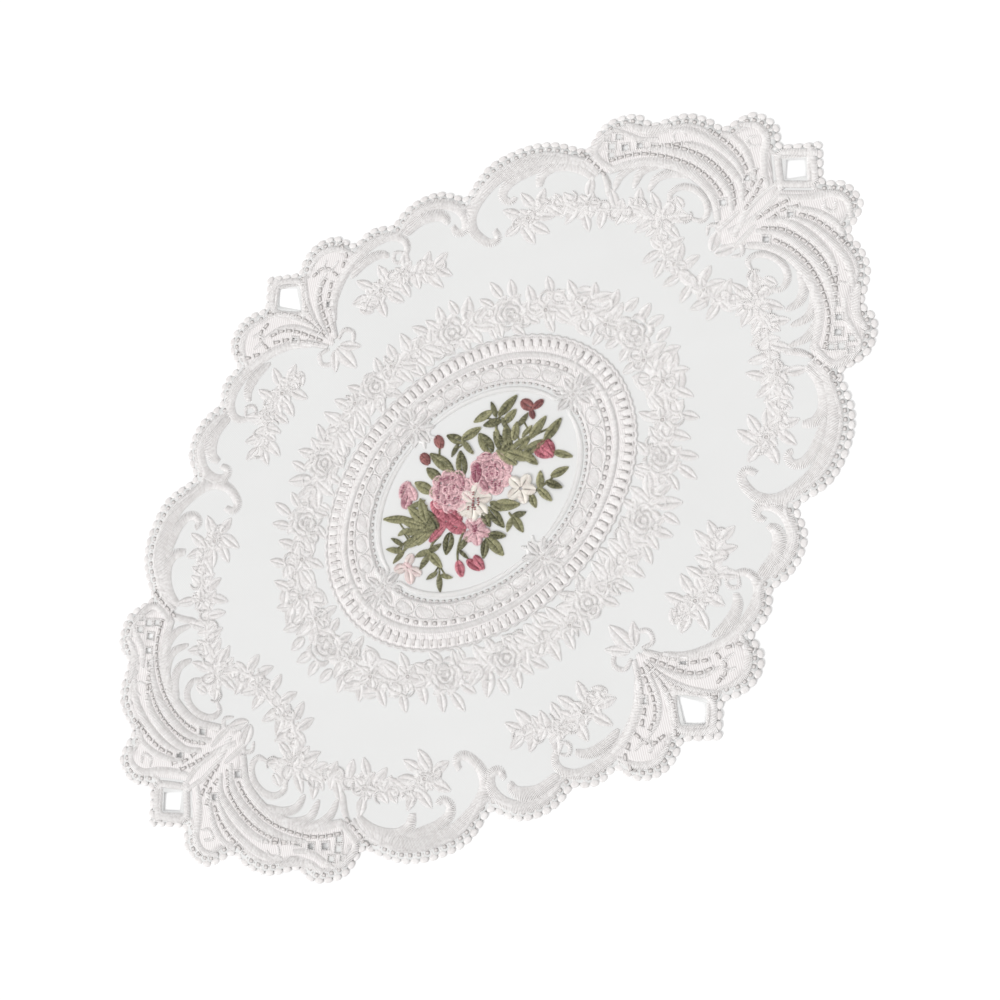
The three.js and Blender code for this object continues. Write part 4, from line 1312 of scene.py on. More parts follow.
@dataclass
class Medallion:
    """The oval frame round the bouquet: rim, needle holes, satin blocks, ladders and rungs."""

    rim: Point = (56.3, 38.9)
    rim_width: float = 3.0
    curl_width: float = 2.6
    holes: Point = (59.3, 41.7)
    blocks: Point = (65.4, 46.0)
    block_count: int = 36
    first_ladder: Point = (71.3, 50.0)
    cord: Point = (74.9, 52.9)
    second_ladder: Point = (78.5, 55.9)
    dashes: Point = (80.3, 57.3)
    rungs: Point = (81.8, 58.4)
    rung_pitch: float = 4.2
    wave: Point = (85.1, 60.9)
    wave_depth: float = 0.4
    # The ends of the oval are left clear for the knots.
    clear: float = 9.0
    clear_blocks: Point = (8.0, 14.0)
    block: Point = (7.0, 5.6)
    block_outline: Point = (4.5, 3.7)

    # Middle line of the curls that end the rim's four arcs
    RIM_CURLS: ClassVar[tuple[Course, ...]] = (
        ((55.2, 7.4), (56.4, 4), (60, 3.4), (61.4, 6.6), (59.4, 8.6)),
        ((8.2, 38.6), (4.4, 39), (2, 36.4), (3.6, 33.6)),
        ((2, 42.4), (3.6, 40), (6.4, 41.4)),
    )
    # Middle line and width of the curls at the ends of the oval
    CURLS: ClassVar[tuple[tuple[Course, float], ...]] = (
        (((61, 13), (65.4, 12.4), (68.4, 8.8), (67.4, 4.4), (63.4, 4)), 3.2),
        (((59, 2), (64, 1.2), (70, 2.2), (75, 5.6)), 2.4),
        (((71.6, 7), (75, 10), (79.6, 11)), 2.2),
        (((72.6, 13.6), (76, 13.2), (80, 15)), 2.0),
        (((4, 44.4), (8.4, 45.4), (10.4, 49), (7.6, 52), (4.6, 50.4)), 2.8),
        (((1.6, 57.4), (3.4, 53), (2.4, 47.6)), 2.4),
    )

    def _spots(
        self, ring: Point, count: int, start: float = 0.5
    ) -> Iterator[tuple[np.ndarray, np.ndarray]]:
        """Spaces places evenly round a ring.

        Args:
            ring: The ring's half length and half width.
            count: How many places there are.
            start: The first place, in shares of the spacing.

        Yields:
            Each place, with the direction of the ring there.
        """
        path = oval(*ring)
        closed = np.vstack([path, path[:1]])
        walked = np.concatenate([[0.0], np.linalg.norm(np.diff(closed, axis=0), axis=1).cumsum()])
        for i in range(count):
            reached = (i + start) / count * walked[-1]
            spot = np.array([np.interp(reached, walked, closed[:, k]) for k in (0, 1)])
            along = np.array([-spot[1] / ring[1] ** 2, spot[0] / ring[0] ** 2])
            yield spot, along / np.linalg.norm(along)

    def _around(
        self, bed: StitchBed, rows: Sequence[tuple[Point, float, float, float, float, float]],
        start: float, lift: float
    ) -> None:
        """Adds single shapes evenly round rings, alike in all four quarters.

        Args:
            bed: The stitches that they are added to.
            rows: Each ring, its pitch, the shapes' reach, width and height, and its clear ends.
            start: The first place of a ring, in shares of the spacing.
            lift: How far the shapes lie above the cloth.
        """
        for ring, pitch, reach, width, height, clear in rows:
            for spot, along in self._spots(ring, self._count(ring, pitch), start):
                if np.abs(spot).min() >= clear:
                    bed.single(spot, along, reach, width, height, lift)

    def _count(self, ring: Point, pitch: float) -> int:
        """Gives how many places fit round a ring, alike in all four quarters.

        Args:
            ring: The ring's half length and half width.
            pitch: The spacing of the places, roughly.

        Returns:
            How many there are.
        """
        path = oval(*ring)
        around = np.linalg.norm(path - np.roll(path, 1, axis=0), axis=1).sum()
        return 4 * round(around / pitch / 4)

    def _rim(self) -> bpy.types.Object:
        """Builds the smooth glossy rim: four arcs with curled ends.

        Returns:
            The finished piece.
        """
        rim = StitchBed("medallion_rim", seed=19)
        arc = oval(*self.rim, start=10, stop=82)
        rim.mirrored_satin(arc, self.rim_width, (0.6, 0.6), height=0.9, lean=35)
        for curl in self.RIM_CURLS:
            rim.mirrored_satin(smooth_line(curl), self.curl_width, (0.7, 0.5), height=0.9, lean=25)
        return rim.sew(Thread.RIM.material())

    def _fill(self) -> bpy.types.Object:
        """Builds the flat fill under the blocks, the cord and the rungs.

        Returns:
            The finished piece.
        """
        inner = oval(self.holes[0] + 0.6, self.holes[1] + 0.6)
        outer = oval(self.wave[0] - 0.4, self.wave[1] - 0.4)
        patch = ClothPatch("medallion_fill", [outer], [inner], base=STITCH_BASE - 0.1, thickness=0.3)
        return patch.cut(FillStitch().material())

    def _blocks(self) -> bpy.types.Object:
        """Builds the oval satin blocks, each in an outline, and the curls at the oval's ends.

        Returns:
            The finished piece.
        """
        blocks = StitchBed("medallion_blocks", seed=23)
        half = self.block[0] / 2
        ring = oval(*self.block_outline)
        for spot, along in self._spots(self.blocks, self.block_count):
            if abs(spot[0]) < self.clear_blocks[0] or abs(spot[1]) < self.clear_blocks[1]:
                continue
            hand = 1 if spot[0] * spot[1] > 0 else -1
            line = spot + np.outer(np.linspace(-half, half, 9), along)
            blocks.satin(line, self.block[1], (0.5, 0.5), lean=38 * hand, lift=0.15)
            across = np.array([-along[1], along[0]])
            outline = spot + ring[:, :1] * along + ring[:, 1:] * across
            blocks.row(outline, reach=0.55, height=0.8, lean=20, shade=0.9, lift=0.15, closed=True)
        for through, width in self.CURLS:
            blocks.mirrored_satin(smooth_line(through), width, (0.5, 0.5), 0.75, lean=20, lift=0.15)
        return blocks.sew(Thread.WHITE.material())

    def _rings(self) -> bpy.types.Object:
        """Builds the satin cords that run all the way round.

        Returns:
            The finished piece.
        """
        rings = StitchBed("medallion_cords", seed=29)
        # Half length, half width, reach and height of each cord
        cords = ((*self.cord, 1.6, 0.7), (69.5, 48.7, 0.6, 0.8), (61.1, 43.3, 0.6, 0.8))
        for half_x, half_y, reach, height in cords:
            rings.row(oval(half_x, half_y), reach, height, lean=24, lift=0.15, closed=True)
        waves = oval(*self.wave)
        teeth = self._count(self.rungs, self.rung_pitch)
        turn = np.arctan2(waves[:, 1] / self.wave[1], waves[:, 0] / self.wave[0])
        wavy = moved_aside(waves, -self.wave_depth * np.cos(turn * teeth), closed=True)
        rings.row(wavy, reach=0.85, height=0.85, lean=24, closed=True)
        return rings.sew(Thread.WHITE.material())

    def _rungs(self) -> bpy.types.Object:
        """Builds the padded rungs of the inner ladder and the wide ones at the outer edge.

        Returns:
            The finished piece.
        """
        rungs = StitchBed("medallion_rungs", StitchShape.PAD, *SINGLE_SHAPES, left_out=1, seed=31)
        # Ring, pitch, reach, width and height, and how much of the ring's ends is left clear
        rows = (
            (self.first_ladder, 4.5, 1.4, 2.3, 0.45, self.clear),
            (self.second_ladder, self.rung_pitch, 1.3, 2.6, 0.4, 0.0),
            (self.rungs, self.rung_pitch, 2.4, 3.0, 0.5, 0.0),
        )
        self._around(rungs, rows, start=0.0, lift=0.05)
        return rungs.sew(Thread.WHITE.material())

    def _holes(self) -> bpy.types.Object:
        """Builds the rows of needle holes inside the blocks, in the ladder and under the rungs, as grey
        plates of painted shade.

        Returns:
            The finished piece.
        """
        # The holes' plates are grey with painted shade.
        holes = StitchBed("medallion_needle_holes", StitchShape.HOLE, *SINGLE_SHAPES, left_out=1)
        # Ring, pitch, reach, width and height, and how much of the ring's ends is left clear
        rows = (
            (self.holes, 3.1, 0.55, 1.9, 0.5, 0.0),
            (self.first_ladder, 4.5, 1.0, 2.2, 0.5, self.clear),
            (self.dashes, self.rung_pitch, 2.5, 1.5, 0.5, 0.0),
        )
        self._around(holes, rows, start=0.5, lift=0.35)
        return holes.sew(NeedleHoleShade().material())

    def build(self) -> list[bpy.types.Object]:
        """Builds every part of the medallion, as a list of finished pieces."""
        return [self._fill(), self._blocks(), self._rings(), self._rungs(), self._holes(), self._rim()]


@dataclass(frozen=True)
class LeafPlace:
    """Where a leaf or petal lies: its middle, its size, the direction of its tip, and its shade."""

    x: float
    y: float
    length: float
    width: float
    turn: float
    shade: float = 0.8


@dataclass
class WhiteFlowers:
    """White roses, ring flowers and leaves of the wreath and the sprays, in one quarter."""

    leaf_spacing: float = 2.6
    tendril_spacing: float = 5.2
    tendril_width: float = 1.5
    eye_lift: float = 0.35

    # Middle x and y, and radius of each flower
    ROSES: ClassVar[tuple[Row, ...]] = (
        (0, 73.5, 7.6), (44, 65, 7.8), (70, 50.5, 8.2), (103, 0, 8.8),
    )
    RING_FLOWERS: ClassVar[tuple[Row, ...]] = (
        (12.6, 75, 5.0), (83, 38.6, 5.4), (96, 26, 5.2), (97, 12.6, 5.0), (133, 61, 5.2),
        (109, 77.6, 5.0), (35, 106.6, 5.2), (47.6, 104.6, 4.4), (139, 9.4, 4.8), (0, 44.4, 4.4),
        (63.4, 0, 4.6),
    )
    # Middle x and y, length, width and turn of each leaf
    LEAVES: ClassVar[tuple[Row, ...]] = (
        (0, 95, 15, 6.4, -90), (5.4, 98, 11, 4, -50), (159.4, 3.6, 11, 4.6, 28), (4.4, 64.4, 8, 4, -60),
        (8.6, 67.4, 8, 4.2, -40), (8, 80.4, 8, 4, 65), (14.6, 66.4, 10, 4.4, -88),
        (17.4, 80, 8.6, 4.2, 72), (21, 73.4, 9, 4.6, 5), (19.6, 68.6, 8, 4, -45),
        (25.6, 78.4, 10.4, 4.6, 78), (26.4, 65.8, 11.4, 4.6, -86), (21.6, 62.6, 7, 3.6, -100),
        (30.8, 73.4, 9, 4.4, 28), (32, 64.8, 10.4, 4.8, -65), (34.6, 77.4, 9, 4, 112),
        (36.6, 71, 8, 4, 50), (37.6, 60.4, 8.4, 4, -80), (46.4, 75.4, 9, 4.2, 62),
        (40.4, 75, 8, 3.8, 100), (51.4, 55.6, 12, 4.8, -95), (57.6, 55, 11, 4.4, -50),
        (45, 55.4, 8, 3.8, -100), (57.8, 67.6, 12.4, 5.4, 42), (53.6, 73.4, 8.4, 3.8, 78),
        (61, 61.4, 8, 3.8, 12), (73.6, 63.8, 10, 4, 82), (66, 62.6, 8, 3.8, 105),
        (79.4, 58.6, 9, 4, 55), (83.4, 49.6, 9.4, 4.2, 62), (61.4, 48.2, 8, 3.8, -120),
        (67.4, 41.4, 8, 3.8, -85), (75.4, 40.4, 8, 4, -70), (91.4, 39.8, 9.4, 4.2, 115),
        (98.6, 36.6, 9.4, 4, 68), (93, 46.4, 8, 3.8, 60), (79.4, 32, 8, 3.8, -110),
        (87.4, 30.2, 9, 4.2, -85), (94.6, 32.4, 7, 3.8, 40), (101.8, 31, 8.6, 5, -40),
        (105.8, 23, 9, 4.4, -30), (105, 28, 8, 3.8, 40), (88.4, 19.4, 9.4, 4.4, -95),
        (88.6, 25.4, 7, 3.8, 165), (99.4, 19.4, 8, 4.2, -25), (109, 18.4, 8.4, 4, 25),
        (105.4, 13, 9, 4.4, 15), (90, 10.6, 8, 4, -170), (112, 10.4, 8.4, 4.2, 0),
        (114, 3.4, 8.4, 4.2, 12), (92.4, 4, 7, 3.8, 165), (78.6, 0, 11, 6, 0),
        (147, 38.8, 12.4, 4.2, 103), (154.6, 37.4, 10.4, 3.8, 66), (157.4, 30.8, 10.4, 4, 10),
        (156.6, 23.4, 10.4, 4, -42), (149.8, 21.4, 9.4, 3.8, -95), (143.2, 25, 10, 3.8, -160),
        (142.4, 32.6, 10.4, 3.8, 160), (150, 29, 5, 4.6, 30), (146.6, 16.6, 9, 4, -20),
        (134, 19.8, 9, 4, 170), (144.6, 11.4, 9, 4, 30), (132.4, 13, 9, 4, 200), (145, 4.8, 9, 4, -15),
        (132, 4.6, 9, 4, 165), (140.2, 22.6, 7.4, 3.6, 90), (138, -0.2, 8, 5, -90),
        (151.4, 45, 8.4, 3.8, 40), (138.4, 44.6, 8.4, 3.8, 200), (143, 53.6, 9.4, 4, 60),
        (131.6, 50.2, 8.4, 3.8, 215), (128.4, 68.8, 10, 4, 80), (139.8, 66.2, 9.4, 4, 35),
        (123.8, 62.6, 10, 4, 190), (126, 54.6, 9, 3.8, 240), (120.4, 70.4, 9.4, 4, -80),
        (115, 84.4, 10, 4.4, 85), (105.4, 85.4, 9.4, 4.4, 112), (103.2, 71.4, 11, 4.6, -100),
        (109.4, 69.4, 10, 4.4, -75), (115.4, 72, 9, 4.2, -50), (99.6, 79, 8.4, 4, 170),
        (120.6, 80.4, 9, 4, 25), (31.4, 115, 10, 4.2, 110), (24.6, 110.8, 9, 4, 160),
        (29.4, 99.8, 10, 4.4, -110), (37.6, 98.4, 9.4, 4.4, -75), (41.4, 112.6, 9.4, 4.2, 75),
        (43.6, 97.6, 8.4, 4, -100), (54, 109, 8.4, 4, 50), (50.6, 96.6, 8.4, 4, -115),
        (56.6, 89.6, 10.4, 4.2, -85), (62.6, 90.4, 10.4, 4.2, -70), (61, 100.4, 9.4, 4, 30),
        (66.4, 95.6, 8.4, 3.8, 0), (56, 98.6, 7, 3.8, 20), (40, 106.6, 7, 3.8, 10),
    )

    # The petals of the knots at the ends of the medallion's oval, given as the leaves are
    KNOTS: ClassVar[tuple[Row, ...]] = (
        (0, 37.6, 7, 4, -90), (4.4, 39.8, 6.8, 3.6, -40), (5.4, 45, 6.8, 3.6, 8),
        (3.4, 49.8, 6.6, 3.4, 60), (0, 52, 6.6, 3.6, 90), (56.6, 0, 7, 4, 180),
        (59.6, 4.2, 6.8, 3.6, 128), (65, 5.2, 6.8, 3.6, 80), (69.8, 3.2, 6.6, 3.4, 28),
        (72.4, 0, 6.6, 3.6, 0),
    )

    # Middle line of the wreath and of each spray, and how far its small leaves spread
    CROWDED: ClassVar[tuple[tuple[Course, float], ...]] = (
        (((-1, 73), (20, 71), (44, 64.6), (66, 53), (84, 39), (97, 22), (102, -1)), 8.0),
        (((160, 25), (149, 31), (146, 41), (139.6, 49), (132, 57.4)), 4.6),
        (((132, 57.4), (128, 68), (119, 75), (104, 78)), 5.0),
        (((146, 27), (140, 15), (138.6, 2)), 4.6),
        (((23, 107), (33, 107.6), (43, 105.8), (52, 101), (62, 92)), 5.0),
    )

    def _backing(self) -> bpy.types.Object:
        """Builds the low, loosely filled ground that the crowded leaves lie on.

        Returns:
            The finished piece.
        """
        backing = StitchBed("white_backing", pitch=0.8, thread_width=1.0, seed=44)
        for through, spread in self.CROWDED:
            for line, hand in in_quarters(smooth_line(through)):
                t = np.linspace(0, 1, len(line))
                wavy = 0.84 + 0.16 * np.sin(len(line) * 0.5 * t) * np.sin(np.pi * t)
                backing.row(line, spread * wavy, height=0.3, lean=30 * hand, shade=0.72, lift=-0.1)
        return backing.sew(Thread.WHITE.material())

    def _small_leaves(self) -> Iterator[LeafPlace]:
        """Scatters small leaves beside the wreath and the sprays, the same ones each time.

        Yields:
            Each leaf of the first quarter.
        """
        chance = np.random.default_rng(71)
        for through, spread in self.CROWDED:
            path = smooth_line(through, self.leaf_spacing)
            for i, (spot, way) in enumerate(zip(path, headings(path))):
                side = 1 if i % 2 else -1
                aside = side * chance.uniform(0.2, 1.0) * spread
                x, y = spot + np.array([-way[1], way[0]]) * aside
                turn = math.degrees(math.atan2(way[1], way[0])) + side * chance.uniform(15, 95)
                size = chance.uniform(5.4, 7.8)
                yield LeafPlace(x, y, size, 0.62 * size, turn)

    def _tendrils(self) -> bpy.types.Object:
        """Scatters short curling stems through the wreath and the sprays.

        Returns:
            The finished piece.
        """
        chance = np.random.default_rng(72)
        bed = StitchBed("white_tendrils", pitch=0.8, thread_width=0.9, seed=46)
        for through, spread in self.CROWDED:
            path = smooth_line(through, self.tendril_spacing)
            for spot, way in zip(path, headings(path)):
                aside = chance.uniform(-0.9, 0.9) * spread
                middle = spot + np.array([-way[1], way[0]]) * aside
                radius = chance.uniform(2.0, 3.4)
                begin = chance.uniform(0, 360)
                curl = middle + oval(radius, radius, begin, begin + 210)
                bed.mirrored_satin(curl, self.tendril_width, (0.9, 0.5), 0.85, lean=20, lift=0.1)
        return bed.sew(Thread.WHITE.material())

    def _rose(self, bed: StitchBed, middle: np.ndarray, radius: float, hand: int) -> None:
        """Adds a rose to a bed: rings of curved petals round a small coiled heart.

        Args:
            bed: The stitches that it is added to.
            middle: Its middle.
            radius: Its radius.
            hand: 1, or -1 where it is mirrored.
        """
        # Share of the radius, petals, width as a share of the radius, and height of each ring
        tiers = ((0.88, 6, 0.38, 0.7), (0.54, 5, 0.32, 0.9), (0.24, 3, 0.3, 1.05))
        for tier, (share, petals, width, height) in enumerate(tiers):
            span = 360 / petals
            for i in range(petals):
                start = hand * (i * span + 25 * tier)
                arc = oval(radius * share, radius * share, start, start + hand * (span - 9))
                bulge = 0.92 + 0.16 * np.sin(np.pi * np.linspace(0, 1, len(arc)))
                petal = middle + arc * bulge[:, None]
                bed.satin(petal, radius * width, (0.5, 0.35), height, lean=8 * hand)

    def _ring_flower(self, bed: StitchBed, middle: np.ndarray, radius: float, hand: int) -> None:
        """Adds a flower to a bed: five petals round a small ring.

        Args:
            bed: The stitches that it is added to.
            middle: Its middle.
            radius: Its radius.
            hand: 1, or -1 where it is mirrored.
        """
        for i in range(5):
            turn = hand * (72 * i + 18)
            away = np.array([math.cos(math.radians(turn)), math.sin(math.radians(turn))])
            spot = middle + away * radius * 0.66
            bed.leaf(tuple(spot), radius * 0.9, radius * 0.85, turn, 0.65, 0.8, 0.05, hand)
        ring = middle + oval(radius * 0.26, radius * 0.26)
        bed.row(ring, reach=0.6, height=0.95, lift=0.1, closed=True)

    def build(self) -> list[bpy.types.Object]:
        """Builds the flowers and the leaves.

        Returns:
            The finished pieces.
        """
        flowers = StitchBed("white_flowers", seed=41)
        for x, y, radius in self.ROSES:
            for middle, hand in place_in_quarters(x, y):
                self._rose(flowers, middle, radius, hand)
        # Each flower's eye is a grey plate with painted shade.
        eyes = StitchBed("white_flower_eyes", StitchShape.HOLE, *SINGLE_SHAPES, left_out=1)
        along_x = np.array((1.0, 0.0))
        for x, y, radius in self.RING_FLOWERS:
            for middle, hand in place_in_quarters(x, y):
                self._ring_flower(flowers, middle, radius, hand)
                eyes.single(middle, along_x, reach=0.9, width=1.8, height=0.5, lift=self.eye_lift)
        leaves = StitchBed("white_leaves", seed=43)
        for place in self.LEAVES:
            self._four_leaves(leaves, LeafPlace(*place), wider=1.2, height=0.58)
        knots = StitchBed("medallion_knots", seed=47)
        for place in self.KNOTS:
            self._four_leaves(knots, LeafPlace(*place), wider=1.1, height=1.1)
        small = StitchBed("white_small_leaves", pitch=0.74, thread_width=0.9, seed=45)
        for leaf in self._small_leaves():
            self._four_leaves(small, leaf, wider=1.0, height=0.45)
        white = Thread.WHITE.material()
        hole = NeedleHoleShade().material()
        return [
            self._backing(),
            flowers.sew(white),
            eyes.sew(hole),
            *(bed.sew(white) for bed in (leaves, knots, small)),
            self._tendrils(),
        ]

    def _four_leaves(self, bed: StitchBed, leaf: LeafPlace, wider: float, height: float) -> None:
        """Adds a leaf in each quarter.

        Args:
            bed: The stitches that it is added to.
            leaf: The leaf of the first quarter.
            wider: What its width is multiplied by.
            height: How high its stitches stand.
        """
        angle = math.radians(leaf.turn)
        for middle, hand in place_in_quarters(leaf.x, leaf.y):
            flip_x, flip_y = np.where(middle * (leaf.x, leaf.y) < 0, -1.0, 1.0)
            turn = math.degrees(math.atan2(math.sin(angle) * flip_y, math.cos(angle) * flip_x))
            bed.leaf(tuple(middle), leaf.length, leaf.width * wider, turn, height, hand=hand)

# The coloured bouquet


@dataclass(frozen=True)
class Frill:
    """One ring of frilled petals: its radius, its width, how many scallops, and its shade."""

    radius: float
    width: float
    scallops: int
    shade: float


@dataclass(frozen=True)
class Bloom:
    """One bloom of the bouquet, with the name of the solid that it stands for."""

    node: str
    thread: Thread
    # The middle of its frills
    middle: Point = (0.0, 0.0)
    frills: tuple[Row, ...] = ()
    petals: tuple[Row, ...] = ()
    knots: Course = ()
    pitch: float = 0.55

    def sew(self) -> bpy.types.Object:
        """Stitches the bloom.

        Returns:
            The finished piece.
        """
        bed = StitchBed(f"{self.node}_stitches", pitch=self.pitch, thread_width=0.68, seed=47)
        for tier, frill in enumerate(self.frills):
            self._frill(bed, Frill(*frill), tier)
        over_frills = 0.5 if self.frills else 0.0
        for i, place in enumerate(self.petals):
            self._petal(bed, LeafPlace(*place), 0.15 + 0.1 * (i % 3) + over_frills)
        for x, y in self.knots:
            knot = np.array([(x - 0.4, y - 0.3), (x + 0.4, y + 0.3)])
            bed.row(knot, reach=0.55, height=0.8, lean=20, shade=0.0, lift=0.85)
        return bed.sew(self.thread.material())

    def _petal(self, bed: StitchBed, petal: LeafPlace, lift: float) -> None:
        """Adds one round-tipped petal in two halves, one a little paler than the other.

        Args:
            bed: The stitches that it is added to.
            petal: The petal.
            lift: How far it lies above the cloth.
        """
        angle = math.radians(petal.turn)
        along = np.array([math.cos(angle), math.sin(angle)])
        t = np.linspace(0.0, 1.0, 11)
        axis = (petal.x, petal.y) + np.outer((t - 0.5) * petal.length * 0.94, along)
        half = petal.width / 2 * (0.3 + 0.7 * np.sin(np.pi * t**1.25) ** 0.7)
        for side in (1, -1):
            flank = moved_aside(axis, side * half / 2)
            tone = petal.shade + 0.06 * side
            bed.row(flank, half / 2 + 0.15, 0.8, 24.0 * side, tone, lift)

    def _frill(self, bed: StitchBed, frill: Frill, tier: int) -> None:
        """Adds one ring of frilled petals.

        Args:
            bed: The stitches that it is added to.
            frill: The ring.
            tier: 0 for the outermost ring, 1 for the next.
        """
        span = 360 / frill.scallops
        for i in range(frill.scallops):
            start = i * span + 40 * tier
            arc = oval(frill.radius, frill.radius, start, start + span - 3)
            t = np.linspace(0, 1, len(arc))
            petal = self.middle + arc * (0.94 + 0.13 * np.sin(np.pi * t))[:, None]
            tone = frill.shade + 0.08 * math.sin(2.4 * i + 5 * tier)
            lift = 0.1 + 0.12 * tier
            bed.satin(petal, frill.width, (0.75, 0.65), 0.85, shade=tone, lift=lift)
            edge = moved_aside(petal, -0.4 * frill.width * np.sin(np.pi * t) ** 0.4)
            pale = min(1.0, tone + 0.16)
            bed.row(edge, reach=0.45, height=0.5, lean=20, shade=pale, lift=lift + 0.25)


@dataclass(frozen=True)
class Sprig:
    """A leafy sprig: its stem, and leaves given as x, y, length, width and turn."""

    node: str
    stem: Course
    leaves: tuple[Row, ...]
    thread: Thread = Thread.LEAF
    stem_width: float = 1.2
    seed: int = 53

    def sew(self) -> bpy.types.Object:
        """Stitches the sprig.

        Returns:
            The finished piece.
        """
        bed = StitchBed(f"{self.node}_stitches", pitch=0.55, thread_width=0.66, seed=self.seed)
        line = smooth_line(self.stem)
        bed.satin(line, self.stem_width, (0.9, 0.7), height=0.8, lean=35, shade=0.35, lift=0.1)
        for i, (x, y, length, width, turn) in enumerate(self.leaves):
            shade = 0.50 + 0.24 * math.sin(2.7 * i + x)
            middle = np.array([x, y])
            nearest = line[np.linalg.norm(line - middle, axis=1).argmin()]
            if np.linalg.norm(nearest - middle) > length / 2:
                stalk = np.linspace(nearest, middle, 5)
                bed.row(stalk, reach=0.45, height=0.7, lean=35, shade=0.35)
            bed.leaf((x, y), length, 0.92 * width, turn, 0.85, shade, 0.05 + 0.17 * (i % 4))
        return bed.sew(self.thread.material())


